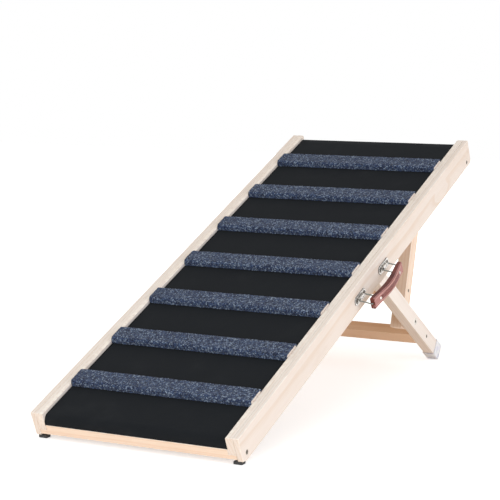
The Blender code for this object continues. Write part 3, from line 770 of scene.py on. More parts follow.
@dataclass(frozen=True)
class LeatherFinish(Finish):
    """Red-brown leather with a painted sheen on its outer face, darker on the padded panel where
    that sheen is held back.
    """

    colour: Colour = srgb(112, 54, 46)
    deep: Colour = srgb(78, 34, 30)
    # Pale rim colour: partly rubbing, partly painted highlight lines along the grip's rims.
    rubbed: Colour = srgb(206, 158, 156)
    # Painted sheen: the lighter colour painted on the grip's outer face.
    sheen: Colour = srgb(192, 138, 137)

    def surface(self, write: NodeWriter) -> Surface:
        """Write pores, creases, pale rims (partly rubbing, partly painted highlight lines) and a
        painted sheen on the outer face.
        """
        pebble = self.pebble(write, 1100.0, 0.4)
        crease = write.noise(320.0, 4.0, 0.65, (1.0, 0.35, 1.0))
        tone = write.span(write.noise(65.0, 3.0), 0.35, 0.7)
        colour = write.mix(tone, self.colour, self.deep)
        colour = write.mix(write.span(crease, 0.55, 0.72, 0.0, 0.5), colour, self.deep)
        # Painted sheen: faces turned out along X mix toward the sheen colour, and specks hold it
        # back on the padded panel.
        normal = write.add("ShaderNodeTexCoord").outputs["Normal"]
        facing = write.add("ShaderNodeSeparateXYZ", {0: normal}).outputs["X"]
        speck = write.span(write.noise(900.0), 0.42, 0.6, 0.35, 0.9)
        # On the grip, the panel layer holds back the painted sheen.
        face = write.math("SUBTRACT", write.span(facing, 0.70, 0.97, 0.0, 0.8),
                          write.times(write.layer("grime"), speck), clamp=True)
        # Painted highlight lines, partly rubbing, along the rims that the grip marks.
        edge = self.worn_edges(write, 2600.0, 0.9)
        colour = write.mix(edge, write.mix(face, colour, self.sheen), self.rubbed)
        return {"Base Color": colour, "Roughness": write.plus(crease, 0.25, 0.45),
                "Specular IOR Level": 0.3, "Coat Weight": 0.04, "Coat Roughness": 0.35,
                "Normal": write.bump(write.plus(crease, 0.6, pebble), 0.00022, 0.6)}


@dataclass(frozen=True)
class ThreadFinish(Finish):
    """Waxed sewing thread."""

    colour: Colour = srgb(236, 206, 196)
    shadow: Colour = srgb(186, 138, 126)

    def surface(self, write: NodeWriter) -> Surface:
        """Write twisted strands."""
        twist = write.texture("Wave", {"Scale": 900.0, "Distortion": 2.0},
                              bands_direction="DIAGONAL")["Fac"]
        return {"Base Color": write.mix(twist, self.colour, self.shadow), "Roughness": 0.6,
                "Normal": write.bump(twist, 0.0001, 0.5)}


@dataclass(frozen=True)
class MetalFinish(Finish):
    """Plated steel with fine brushing and slightly tarnished hollows."""

    colour: Colour = srgb(243, 239, 234)
    tarnish: Colour = srgb(70, 64, 57)
    stain: float = 0.75
    roughness: float = 0.34

    def surface(self, write: NodeWriter) -> Surface:
        """Write brushing, tarnish and rubbed edges."""
        brushed = write.noise(2400.0, stretch=(1.0, 0.06, 1.0))
        patches = write.span(write.noise(420.0, 3.0), 0.45, 0.56, 0.0, self.stain)
        edge = self.worn_edges(write, 400.0, 0.8)
        stain = write.math("MAXIMUM", write.math("SUBTRACT", patches, edge, clamp=True),
                           write.layer("grime"))
        rough = write.plus(stain, 0.2, write.plus(brushed, 0.16, self.roughness - 0.06))
        return {"Base Color": write.mix(stain, self.colour, self.tarnish), "Metallic": 1.0,
                "Roughness": rough, "Normal": write.bump(brushed, 0.00003, 0.4)}


PALE_PINE = TimberFinish("pale_pine", Slot.PINE)
CHALK_PINE = TimberFinish("chalk_pine", Slot.PINE, srgb(245, 239, 236), srgb(224, 209, 200))
WARM_PINE = TimberFinish("warm_pine", Slot.PINE, srgb(246, 216, 188), srgb(218, 172, 132),
                         srgb(250, 232, 210), ring_spacing=0.0066, ring_depth=0.36,
                         heart=(0.0, -0.03, 0.06))
WHEAT_PINE = TimberFinish("wheat_pine", Slot.PINE, srgb(247, 228, 212), srgb(226, 188, 160))
BIRCH_PLY = PlyFinish("birch_ply", Slot.PLYWOOD)
DARK_MAT = MatFinish("dark_mat", Slot.MAT)
HEATHER_CARPET = CarpetFinish("heather_carpet", Slot.CARPET)
BLACK_RUBBER = RubberFinish("black_rubber", Slot.RUBBER)
MILKY_VINYL = VinylFinish("milky_vinyl", Slot.FOOT_CAP)
SADDLE_LEATHER = LeatherFinish("saddle_leather", Slot.LEATHER)
WAXED_THREAD = ThreadFinish("waxed_thread", Slot.LEATHER)
NICKEL = MetalFinish("nickel_plate", Slot.STEEL)
DARK_STEEL = MetalFinish("dark_steel", Slot.STEEL, srgb(128, 122, 112), srgb(74, 66, 56),
                         stain=0.5, roughness=0.38)
GREY_STEEL = MetalFinish("grey_steel", Slot.STEEL, srgb(140, 142, 137), srgb(86, 84, 76),
                         stain=0.5)
PALE_STEEL = MetalFinish("pale_steel", Slot.STEEL, srgb(226, 222, 214), srgb(176, 170, 160),
                         stain=0.5, roughness=0.3)


# ---------------------------------------------------------------------------------------
# Pieces


@dataclass
class Piece:
    """A shape with the finish that it wears, the body that carries it and what it stands for."""

    shape: Object
    finish: Finish
    body: Body
    nodes: tuple[str, ...] = ()
    fill: float | None = None


@dataclass
class SubAssembly(ABC):
    """A group of pieces that is built and then dressed."""

    pieces: list[Piece] = field(default_factory=list, init=False)

    @abstractmethod
    def build(self) -> None:
        """Make every shape of the group."""

    def keep(self, shape: Object, finish: Finish, body: Body, *nodes: str,
             fill: float | None = None) -> None:
        """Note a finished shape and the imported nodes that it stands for."""
        self.pieces.append(Piece(shape, finish, body, nodes, fill))

    def ease(self, node: str, axes: Matrix, width: float, finish: Finish, body: Body = Body.RAMP,
             segments: int = 3) -> None:
        """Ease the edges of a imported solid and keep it."""
        self.keep(softened(node, axes, width, segments), finish, body, node)

    def fit(self, fastener: Fastener, node: str, axes: Matrix, body: Body = Body.RAMP,
            finish: Finish = DARK_STEEL) -> None:
        """Turn a fastener and keep it."""
        self.keep(fastener.build(node + "_dressed", axes), finish, body, node)

    def dress(self) -> None:
        """Give each piece its finish and hang it on its body."""
        for piece in self.pieces:
            piece.shape.data.materials.clear()
            piece.shape.data.materials.append(piece.finish.material)
            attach(piece.shape, piece.body.value)
            if piece.nodes:
                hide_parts(*piece.nodes)
            LOG.info("%s: %s on %s", piece.shape.name, piece.finish.name, piece.body.value)


@dataclass(frozen=True)
class Fastener:
    """A screw or bolt turned about Z, with its head's face near zero and its shank below."""

    head: float
    shank: float
    length: float
    recess: Recess
    dome: float = 0.0
    countersunk: bool = True

    def profile(self) -> Outline:
        """Outline of the fastener from the middle of its head to its tip."""
        head, shank, top, rim = self.head, self.shank, -GAP, 0.12 * self.head
        points = [(0.0002, top + self.dome), (head * 0.45, top + self.dome * 0.86),
                  (head * 0.78, top + self.dome * 0.45), (head - rim, top),
                  (head - rim * 0.3, top - rim * 0.2), (head - 0.0001, top - rim)]
        if self.countersunk:
            points.append((shank, top - rim - head + shank))
        else:
            points += [(head - 0.0001, top - rim - 0.0009), (shank, top - rim - 0.001)]
        return points + [(shank, shank - self.length), (shank * 0.3, -self.length)]

    def tools(self) -> list[Shape]:
        """Cutters for the driver's recess."""
        head, depth, top = self.head, self.head * 0.55, self.dome - GAP
        if self.recess is Recess.HEX:
            return [turned([(head * 0.44, top + 0.001), (head * 0.44, top - depth * 1.3)], 6)]
        blades = []
        for turn in (0.0, math.pi / 2):
            blade = bmesh.new()
            axes = Matrix.Rotation(turn + 0.4, 4, "Z") @ Matrix.Translation((0.0, 0.0, top))
            add_block(blade, (head * 1.15, head * 0.26, depth * 2.0), axes)
            for vertex in blade.verts:
                if vertex.co.z < top:
                    vertex.co.xy = vertex.co.xy * 0.45
            blades.append(blade)
        return blades

    def build(self, name: str, axes: Matrix) -> Object:
        """Make the fastener, with Z of its axes out of the head."""
        shape = carved(turned(self.profile(), 28), self.tools())
        mark(shape, "wear", lambda vertex: vertex.co.xy.length > self.head * 0.8
             and vertex.co.z > -self.head)
        return make_object(name, shape, axes, 40.0, seeded_shift(name, 0.05))


@dataclass
class SideRails(SubAssembly):
    """Two rails, each an outer board and a grooved inner batten, with their screws and pads."""

    half_width: float = 0.200
    board_edge: float = 0.0010
    batten_edge: float = 0.0006
    pad_edge: float = 0.0012
    screws: tuple[tuple[str, float, float], ...] = (("front", 0.017064, -0.0306),
                                                    ("rear", 1.036965, -0.03365))
    screw: Fastener = Fastener(head=0.0040, shank=0.0015, length=0.028, recess=Recess.CROSS)
    chamfer_end: float = 0.1796
    chamfer_foot: float = 0.0043

    def build(self) -> None:
        """Ease the boards and battens, turn the screws and mould the pads."""
        for side in Side:
            self.ease("rail_board_" + side.label, PLACES.ramp @ GRAIN_TURN, self.board_edge,
                      PALE_PINE)
            self.keep(self.batten(side), PALE_PINE, Body.RAMP, "rail_batten_" + side.label)
            self.ease("rubber_pad_" + side.label, PLACES.ramp, self.pad_edge, BLACK_RUBBER,
                      segments=4)
            for end, v, w in self.screws:
                axes = PLACES.at(side.value * self.half_width, v, w) @ outward(side)
                self.fit(self.screw, f"rail_screw_{end}_{side.label}", axes)

    def batten(self, side: Side) -> Object:
        """Ease a batten, with a painted highlight along its inner top corner."""
        piece = softened("rail_batten_" + side.label, PLACES.ramp @ GRAIN_TURN, self.batten_edge)
        wear = piece.data.attributes["wear"].data
        back = PLACES.ramp.inverted() @ piece.matrix_world
        for vertex in piece.data.vertices:
            spot = back @ vertex.co
            # Painted highlight: the inner top chamfer takes the pale edge colour.
            if abs(spot.x) < self.chamfer_end and spot.z > self.chamfer_foot:
                wear[vertex.index].value = 1.0
        return piece


@dataclass
class Deck(SubAssembly):
    """Deck board, end bars and the mat that wraps over the rounded front bar."""

    length: float = 1.050
    half_width: float = 0.1757
    mat_thick: float = 0.0025
    nose: float = 0.016
    drop: float = 0.017
    round_edge: float = 0.0006
    side_edge: float = 0.0007
    waves: float = 0.00025
    settled: float = 0.0001
    nose_steps: int = 14
    stations: int = 60

    def build(self) -> None:
        """Ease the board and bars and lay the mat."""
        self.ease("deck_board", PLACES.ramp @ GRAIN_TURN, 0.0004, BIRCH_PLY)
        for bar, finish in (("front_bar", WHEAT_PINE), ("rear_bar", WARM_PINE)):
            self.ease(bar, PLACES.ramp, 0.0009, finish)
        self.keep(self.mat(), DARK_MAT, Body.RAMP, "deck_mat")

    def mat_outline(self) -> Outline:
        """Side view of the mat as (v, w) points."""
        centre, run, edge = (self.nose, -self.nose), self.length - self.nose, self.round_edge
        outline = [(self.length, -edge), (self.length - edge, 0.0)]
        outline += [(self.length - run * step / self.stations, 0.0)
                    for step in range(1, self.stations)]
        outline += arc(centre, self.nose, 90.0, 180.0, self.nose_steps)
        outline += [(0.0, edge - self.drop), (edge, -self.drop), (self.mat_thick, -self.drop)]
        outline += arc(centre, self.nose - self.mat_thick, 180.0, 90.0, self.nose_steps)
        return outline + [(self.nose + run * step / self.stations, -self.mat_thick)
                          for step in range(1, self.stations + 1)]

    def mat(self) -> Object:
        """Lay the mat, its side edges slightly rounded and its surface barely uneven."""
        edge = self.side_edge
        shares = [(-1.0, edge), (-1.0, 0.0)] + [(share / 8 - 1.0, 0.0) for share in range(1, 16)]
        shares += [(1.0, 0.0), (1.0, edge)]
        loops = []
        for index, (share, tuck) in enumerate(shares):
            inset = edge if index in (1, len(shares) - 2) else 0.0
            u = share * self.half_width - math.copysign(inset, share)
            loop = []
            for v, w in self.mat_outline():
                if w > -0.0005:
                    lift = self.waves * noise.noise(Vector((u * 9.0, v * 7.0, 3.0)))
                    w = w - tuck + (lift - self.settled)
                loop.append(Vector((u, v, w)))
            loops.append(loop)
        return make_object("deck_mat_dressed", loft(loops), PLACES.ramp, 40.0)


@dataclass
class Treads(SubAssembly):
    """Seven timber slats, each under a strip of looped carpet."""

    count: int = 7
    first: float = 0.1140
    pitch: float = 0.1384
    width: float = 0.041
    height: float = 0.0117
    half_length: float = 0.1757
    bare_left: float = 0.0003
    bare_right: float = 0.0002
    corner: float = 0.006
    weave: float = 0.0012
    pile: float = 0.0007
    tuft_scale: float = 420.0
    fray: float = 0.0003
    tucks: tuple[float, float] = (0.0008, 0.0026)

    def build(self) -> None:
        """Make each slat and its carpet."""
        for index in range(self.count):
            self.ease(f"tread_slat_{index + 1}", PLACES.ramp, 0.0005, PALE_PINE)
            self.keep(self.carpet(index), HEATHER_CARPET, Body.RAMP, f"tread_carpet_{index + 1}")

    def section(self) -> list[tuple[Vector, Vector]]:
        """Even steps over the carpet's outer face, with the outward direction at each."""
        half, top, corner = self.width / 2, self.height, self.corner
        outline = [(half, GAP)] + arc((half - corner, top - corner), corner, 0.0, 90.0, 12)
        outline += arc((corner - half, top - corner), corner, 90.0, 180.0, 12) + [(-half, GAP)]
        points = [Vector(point) for point in outline]
        lengths = [(after - before).length for before, after in zip(points, points[1:])]
        total = sum(lengths)
        steps = round(total / self.weave)
        result = []
        for step in range(steps + 1):
            target = total * step / steps
            index = 0
            while index < len(lengths) - 1 and target > lengths[index]:
                target -= lengths[index]
                index += 1
            along = (points[index + 1] - points[index]).normalized()
            result.append((points[index] + along * target, Vector((along.y, -along.x))))
        return result

    def carpet(self, index: int) -> Object:
        """Make one carpet strip with an uneven looped pile, its cut ends tucked in and frayed."""
        middle = self.first + self.pitch * index
        section = self.section()
        length = 2 * self.half_length - self.bare_left - self.bare_right
        steps = round(length / self.weave)
        tufts, (near, far) = self.tuft_scale, self.tucks
        insets = {-2: far, -1: near, steps + 1: near, steps + 2: far}
        dice = random.Random(f"carpet {index}")
        loops = []
        for step in range(-2, steps + 3):
            inset = insets.get(step, 0.0)
            u = self.bare_left - self.half_length + length * min(max(step, 0), steps) / steps
            u += dice.uniform(-self.fray, self.fray) if inset else 0.0
            loop = []
            for point, out in section:
                seed = Vector((u * tufts, point.x * tufts, point.y * tufts + index * 37.0))
                swell = noise.noise(Vector((u * 60.0, point.x * 90.0, index * 11.0))) * 0.4
                lift = (noise.noise(seed) * 1.1 + swell - 0.25) * self.pile
                lift += dice.uniform(-0.25, 0.25) * self.pile
                place = point + out * (lift - inset)
                loop.append(Vector((u, middle + place.x, max(place.y, GAP))))
            loops.append(loop)
        return make_object(f"tread_carpet_{index + 1}_dressed", loft(loops, open_section=True),
                           PLACES.ramp, 180.0)


@dataclass
class DeckRacks(SubAssembly):
    """Slotted racks under the deck."""

    def build(self) -> None:
        """Ease both racks."""
        for side in Side:
            self.ease("rack_" + side.label, PLACES.ramp @ GRAIN_TURN, 0.0005, WARM_PINE)


@dataclass
class LegFrame(SubAssembly):
    """Two legs and their brace, with hinge bolts, strut bolts, nuts, screws and foot caps."""

    inner: float = 0.1518
    outer: float = 0.1738
    width: float = 0.030
    length: float = 0.3994
    edge: float = 0.0012
    brace_start: float = 0.285
    brace_tall: float = 0.042
    brace_thick: float = 0.020
    cap_length: float = 0.028
    cap_wall: float = 0.0013
    cap_corner: float = 0.0026
    cap_round: float = 0.0024
    lip: float = 0.0004
    nut_face: float = 0.1273
    nut_radius: float = 0.0060
    nut_thick: float = 0.0045
    hinge: Fastener = Fastener(head=0.0065, shank=0.0030, length=0.0359, recess=Recess.HEX)
    bolt: Fastener = Fastener(head=0.0070, shank=0.0030, length=0.0465, recess=Recess.HEX,
                              countersunk=False)
    screw: Fastener = Fastener(head=0.0034, shank=0.0015, length=0.034, recess=Recess.CROSS)

    def build(self) -> None:
        """Ease the timbers, dip the feet and fit the bolts and screws."""
        self.ease("leg_brace", PLACES.legs, self.edge, WARM_PINE, Body.LEGS)
        for side in Side:
            self.ease("leg_" + side.label, PLACES.legs @ GRAIN_TURN, self.edge, CHALK_PINE,
                      Body.LEGS)
            self.keep(self.foot_cap(side), MILKY_VINYL, Body.LEGS, "leg_cap_" + side.label)
            self.fit_fasteners(side)

    def fit_fasteners(self, side: Side) -> None:
        """Fit the bolts, nut and screw of one leg."""
        sign, label, inward = side.value, side.label, outward(Side(-side.value))
        place = PLACES.at(sign * self.inner, PLACES.pivot_v, -PLACES.pivot_drop)
        self.fit(self.hinge, "hinge_bolt_" + label, place @ inward)
        place = moved(PLACES.legs, sign * self.outer, PLACES.strut_pivot)
        self.fit(self.bolt, "strut_bolt_" + label, place @ outward(side), Body.LEGS, PALE_STEEL)
        place = moved(PLACES.legs, sign * self.outer, self.brace_start + self.brace_tall * 0.8,
                      self.brace_thick * 0.72 - self.width / 2)
        self.fit(self.screw, "brace_screw_" + label, place @ outward(side), Body.LEGS)
        place = moved(PLACES.legs, sign * (self.nut_face + self.nut_thick), PLACES.strut_pivot)
        self.keep(self.nut(f"strut_nut_{label}_dressed", place @ inward), DARK_STEEL, Body.LEGS,
                  "strut_nut_" + label)

    def nut(self, name: str, axes: Matrix) -> Object:
        """Make a hexagon nut with chamfered corners, with Z pointing away from the timber."""
        bore, radius, thick = self.bolt.shank + GAP, self.nut_radius, self.nut_thick
        body = turned([(radius, 0.0), (radius, thick)], 6)
        skirt = turned([(radius * 0.93, thick + 0.0002), (radius * 1.6, thick - 0.0018),
                        (radius * 1.6, thick + 0.003), (radius * 0.93, thick + 0.003)], 36)
        tube = turned([(bore, -0.001), (bore, thick + 0.001)], 24)
        return make_object(name, carved(body, [skirt, tube]), axes, 30.0, seeded_shift(name, 0.05))

    def foot_cap(self, side: Side) -> Object:
        """Make a dipped cap: a rounded shell with a rolled lip round its open end."""
        wall, reach, bulge = self.cap_wall, GAP + self.cap_wall, self.cap_round
        across = self.outer - self.inner + 2 * reach
        tall = self.width + 2 * reach
        start, end = self.length - self.cap_length, self.length + reach
        middle = side.value * (self.outer + self.inner) / 2
        stages = [(start + 0.0004, -wall * 0.5), (start, 0.0), (start + 0.0006, self.lip),
                  (start + 0.0022, self.lip), (start + 0.0030, 0.0)]
        stages += [(start + (end - start - 0.0050) * share / 6, 0.0) for share in range(1, 7)]
        stages += [(end - bulge * (1.0 - math.sin(turn)), -bulge * (1.0 - math.cos(turn)))
                   for turn in (0.35, 0.75, 1.15, math.pi / 2)]
        inside = rounded_outline(across - 2 * wall, tall - 2 * wall, 0.0012)
        loops = [[Vector((middle + u, v, w)) for u, w in inside]
                 for v in (end - wall, start + 0.0004)]
        for v, grow in stages:
            outline = rounded_outline(across + 2 * grow, tall + 2 * grow,
                                      max(0.0006, self.cap_corner + grow))
            loops.append([Vector((middle + u, v, w)) for u, w in outline])
        shape = loft(loops)
        mark(shape, "wear", lambda vertex: not start + 0.0004 <= vertex.co.y <= end - bulge)
        return make_object(f"leg_cap_{side.label}_dressed", shape, PLACES.legs, 60.0)


@dataclass
class StrutFrame(SubAssembly):
    """Two struts, the spreader between them and the bar that rests in the racks."""

    outer: float = 0.1510
    spreader_at: float = 0.060
    edge: float = 0.0012
    screw: Fastener = Fastener(head=0.0034, shank=0.0015, length=0.034, recess=Recess.CROSS)

    def build(self) -> None:
        """Ease the timbers and fit the spreader's screws."""
        for node in ("strut_spreader", "strut_top_bar"):
            self.ease(node, PLACES.struts, self.edge * 0.8, WARM_PINE, Body.STRUTS)
        for side in Side:
            self.ease("strut_" + side.label, PLACES.struts @ GRAIN_TURN, self.edge, WHEAT_PINE,
                      Body.STRUTS)
            place = moved(PLACES.struts, side.value * self.outer, self.spreader_at)
            self.fit(self.screw, "spreader_screw_" + side.label, place @ outward(side), Body.STRUTS)


@dataclass
class CarryHandle(SubAssembly):
    """Brackets, wire rings and the padded leather grip on the right rail."""

    rail_u: float = 0.200
    spread: float = 0.110
    plate_length: float = 0.046
    plate_height: float = 0.017
    plate_thick: float = 0.0015
    knuckle_radius: float = 0.0034
    knuckle_length: float = 0.018
    wire: float = 0.0013
    ring_width: float = 0.025
    ring_corner: float = 0.0025
    end_width: float = 0.0225
    mid_width: float = 0.0185
    end_thick: float = 0.0095
    mid_thick: float = 0.0125
    bow: float = 0.006
    edge_round: float = 0.0027
    panel_end: float = 0.17
    panel_half: float = 0.0058
    panel_rise: float = 0.0011
    seam_at: float = 0.0063
    seam_half: float = 0.0007
    seam_depth: float = 0.0005
    stain_reach: float = 0.0043
    stitch_pitch: float = 0.0036
    stitch_radius: float = 0.00058
    rivet_share: float = 2.5 / 16
    tunnel_clearance: float = 0.0004
    screw: Fastener = Fastener(head=0.0028, shank=0.0012, length=0.009, recess=Recess.CROSS,
                               dome=0.0009)

    @property
    def grip_half(self) -> float:
        """Half the grip's length."""
        return (self.spread + self.ring_width) / 2 - self.wire - 0.0004

    @property
    def screw_reach(self) -> float:
        """Distance of a bracket's screws from its middle."""
        return self.plate_length * 0.34

    def build(self) -> None:
        """Make the plates, rings, grip, stitching and rivets."""
        for label, way in (("front", -1), ("rear", 1)):
            v = PLACES.handle_v + way * self.spread / 2
            self.keep(self.bracket(label, v), NICKEL, Body.RAMP, "handle_bracket_" + label)
            self.keep(self.ring(label, v), GREY_STEEL, Body.RINGS, "handle_ring_" + label)
            for number, step in (("1", -1), ("2", 1)):
                place = PLACES.at(self.rail_u + GAP + self.plate_thick,
                                  v + step * self.screw_reach, -PLACES.handle_drop)
                self.fit(self.screw, f"bracket_screw_{label}_{number}",
                         place @ outward(Side.RIGHT))
            self.keep(self.rivet(label), PALE_STEEL, Body.GRIP, "grip_rivet_" + label)
        self.keep(self.grip(), SADDLE_LEATHER, Body.GRIP, "handle_grip", fill=1.0)
        self.keep(self.stitching(), WAXED_THREAD, Body.GRIP)

    def bracket(self, label: str, v: float) -> Object:
        """Press a plate with a raised rim and roll a knuckle across its middle."""
        start, thick, drop = self.rail_u + GAP, self.plate_thick, PLACES.handle_drop
        stages = [(0.0, 0.0), (0.0, thick * 0.55), (0.0004, thick * 0.9), (0.0009, thick),
                  (0.0020, thick), (0.0024, thick * 0.72)]
        stages += [(inset, thick * 0.70) for inset in (0.0032, 0.0042, 0.0052, 0.0062, 0.0072)]
        outline = dense_outline(rounded_outline(self.plate_length, self.plate_height,
                                                self.plate_height / 2 - 0.0003, 10), 0.0010)
        loops = []
        for inset, rise in stages:
            wide = 1.0 - 2 * inset / self.plate_length
            tall = 1.0 - 2 * inset / self.plate_height
            loops.append([Vector((start + rise, v + along * wide, up * tall - drop))
                          for along, up in outline])
        shape = loft(loops)
        merge(shape, self.knuckle(), Matrix.Translation((PLACES.handle_u, v, -drop)) @ Y_UP)

        def grime(vertex: Vertex) -> float:
            """Stain round the rim and the screws, and a little on the pressed floor."""
            rise = (vertex.co.x - start) / thick
            from_screw = math.hypot(abs(vertex.co.y - v) - self.screw_reach, vertex.co.z + drop)
            stained = rise < 0.6 or (rise < 0.8 and from_screw < self.stain_reach)
            return 0.95 if stained else 0.2 if rise < 0.8 else 0.0

        mark(shape, "wear", lambda vertex: (vertex.co.x - start) / thick > 0.95)
        mark(shape, "grime", grime)
        return make_object(f"handle_bracket_{label}_dressed", shape, PLACES.ramp, 45.0)

    def knuckle(self) -> Shape:
        """Roll a knuckle along Z, with a seam at each third."""
        radius, half, bore = self.knuckle_radius, self.knuckle_length / 2, self.wire + 0.0002
        profile = [(bore, -half), (radius * 0.9, -half), (radius, -half + 0.0004)]
        for seam in (-half / 3, half / 3):
            profile += [(radius, seam - 0.0004), (radius * 0.84, seam - 0.00015),
                        (radius * 0.84, seam + 0.00015), (radius, seam + 0.0004)]
        profile += [(radius, half - 0.0004), (radius * 0.9, half), (bore, half)]
        return loft([ring_points(r, z, 28) for r, z in profile], closed_path=True)

    def ring(self, label: str, v: float) -> Object:
        """Bend a rectangular ring of round wire."""
        reach, up = PLACES.ring_reach, Vector((0.0, 0.0, 1.0))
        corners = rounded_outline(reach, self.ring_width, self.ring_corner, 8)
        path = [Vector((reach / 2 + out, v - PLACES.handle_v + along, 0.0))
                for out, along in corners]
        loops = []
        for index, point in enumerate(path):
            out = (path[(index + 1) % len(path)] - path[index - 1]).normalized().cross(up)
            loops.append([point + (out * spot.x + up * spot.y)
                          for spot in ring_points(self.wire, 0.0, 14)])
        return make_object(f"handle_ring_{label}_dressed", loft(loops, closed_path=True),
                           PLACES.rings, 60.0)

    def ease_at(self, share: float) -> float:
        """Smooth rise from 0 at the grip's ends to 1 at its middle."""
        return math.sin(max(0.0, 1.0 - abs(2.0 * share - 1.0)) * math.pi / 2) ** 1.6

    def along(self, share: float) -> float:
        """Distance from the grip's middle to a share of its length."""
        return (share - 0.5) * 2 * self.grip_half

    def bow_at(self, share: float) -> tuple[float, float]:
        """How far the grip bows out at a share of its length, and how thick it is."""
        ease = self.ease_at(share)
        return self.bow * ease, self.end_thick + (self.mid_thick - self.end_thick) * ease

    def width_at(self, share: float) -> float:
        """Width of the grip at a share of its length."""
        return self.end_width + (self.mid_width - self.end_width) * self.ease_at(share)

    def on_face(self, share: float, sunk: float, z: float) -> Matrix:
        """Axes on the grip's outer face, leaning as the face does."""
        low, high = (bow + thick / 2
                     for bow, thick in map(self.bow_at, (share - 0.01, share + 0.01)))
        bow, thick = self.bow_at(share)
        return (Matrix.Translation((bow + thick / 2 - sunk, self.along(share), z))
                @ Matrix.Rotation(-math.atan2(high - low, 0.04 * self.grip_half), 4, "Z"))

    def grip_section(self, share: float, squeeze: float) -> list[Vector]:
        """Outline of the grip at one place, drawn in by a squeeze, with its padded panel."""
        bow, thick = self.bow_at(share)
        width = self.width_at(share) - 2 * squeeze
        wide, high = (thick - 2 * squeeze) / self.end_thick, width / self.end_width
        panel = eased((min(share, 1.0 - share) - self.panel_end) / 0.05)
        loop = []
        outline = rounded_outline(self.end_thick, self.end_width, self.edge_round)
        for x, z in dense_outline(outline, 0.0007):
            x, z = x * wide, z * high
            lift = 0.0
            if x > thick * 0.3:
                lift = self.panel_rise * eased((self.panel_half - abs(z)) / 0.0020) * panel
                lift -= self.seam_depth * math.exp(-((abs(z) - self.seam_at) / self.seam_half) ** 2)
            side_seam = math.exp(-((x + thick * 0.12) / 0.0005) ** 2) * (abs(z) > width * 0.47)
            loop.append(Vector((bow + x + lift, self.along(share),
                                z - math.copysign(0.00035 * side_seam, z))))
        return loop

    def grip(self) -> Object:
        """Sew the grip: a bowed, padded bar with rounded ends, threaded on the rings."""
        ends = [(0.0, 0.0012), (0.002, 0.0005), (0.006, 0.0001)]
        stations = ends + [(0.012 + 0.976 * step / 84, 0.0) for step in range(85)]
        stations += [(1.0 - share, squeeze) for share, squeeze in reversed(ends)]
        radius = self.wire + self.tunnel_clearance
        length = self.ring_width + 2 * radius
        tools = []
        for way in (-1, 1):
            wire_v = way * self.spread / 2
            tunnel = turned([(radius, -length / 2), (radius, length / 2)], 16)
            tunnel.transform(Matrix.Translation((0.0, wire_v, 0.0)) @ Y_UP)
            slot = bmesh.new()
            add_block(slot, (self.end_thick + 0.0005, 0.0050, 0.0080),
                      Matrix.Translation((-self.end_thick / 2 + 0.00025,
                                          wire_v - way * self.ring_width / 2, 0.0)))
            tools += [tunnel, slot]
        shape = carved(loft([self.grip_section(*station) for station in stations]), tools)

        def outer_at(vertex: Vertex) -> tuple[bool, float, float]:
            """Whether a point is on the outer face, with its share and height."""
            share = min(1.0, max(0.0, vertex.co.y / (2 * self.grip_half) + 0.5))
            bow, thick = self.bow_at(share)
            return vertex.co.x - bow > thick * 0.3, share, abs(vertex.co.z)

        def worn(vertex: Vertex) -> bool:
            """Mark the rims of the panel and of the outer face for painted highlight lines and
            rubbing.
            """
            outer, share, high = outer_at(vertex)
            return outer and (0.0044 < high < 0.0062 or self.width_at(share) / 2 - high < 0.0009)

        def dulled(vertex: Vertex) -> bool:
            """Mark the panel, where the painted sheen is held back."""
            outer, share, high = outer_at(vertex)
            return outer and high < 0.0045 and self.panel_end < share < 1.0 - self.panel_end

        # Rims: painted highlight lines and rubbing. Panel: kept from the painted sheen.
        mark(shape, "wear", worn)
        mark(shape, "grime", dulled)
        return make_object("handle_grip_dressed", shape, PLACES.grip, 50.0)

    def stitching(self) -> Object:
        """Sew a row of stitches along each long edge of the outer face."""
        radius, shape = self.stitch_radius, bmesh.new()
        profile = [(0.0001, -0.00140), (radius * 0.75, -0.00125), (radius, -0.0008),
                   (radius, 0.0008), (radius * 0.75, 0.00125), (0.0001, 0.00140)]
        count = int((2 * self.grip_half - 0.012) / self.stitch_pitch)
        for row in (-1, 1):
            for step in range(count):
                share = 0.5 + ((step - (count - 1) / 2) * self.stitch_pitch) / (2 * self.grip_half)
                merge(shape, turned(profile, 8),
                      self.on_face(share, 0.0003, row * self.seam_at) @ Y_UP)
        return make_object("handle_stitching", shape, PLACES.grip, 80.0)

    def rivet(self, label: str) -> Object:
        """Turn a domed rivet with a rolled rim."""
        profile = [(0.0002, 0.0012), (0.0010, 0.00115), (0.0018, 0.0009), (0.0022, 0.0006),
                   (0.0026, 0.0009), (0.0030, 0.0006), (0.0030, 0.0001), (0.0015, 0.0001),
                   (0.0015, -0.0010), (0.0002, -0.0011)]
        share = self.rivet_share if label == "front" else 1.0 - self.rivet_share
        axes = PLACES.grip @ self.on_face(share, 0.0, 0.0) @ outward(Side.RIGHT)
        return make_object(f"grip_rivet_{label}_dressed", turned(profile), axes, 50.0)


# ---------------------------------------------------------------------------------------
# Studio


@dataclass(frozen=True)
class Lamp:
    """A soft square lamp that looks at the ramp."""

    name: str
    place: Triple
    size: float
    power: float
    colour: Triple = (1.0, 1.0, 1.0)

    def build(self) -> None:
        """Hang the lamp."""
        data = bpy.data.lights.new(self.name, "AREA")
        data.shape = "SQUARE"
        data.size = self.size
        data.energy = self.power
        data.color = self.colour
        lamp = linked(self.name, data)
        lamp.location = self.place
        ahead = Vector((0.0, 0.0, 0.2)) - Vector(self.place)
        lamp.rotation_euler = ahead.to_track_quat("-Z", "Y").to_euler()


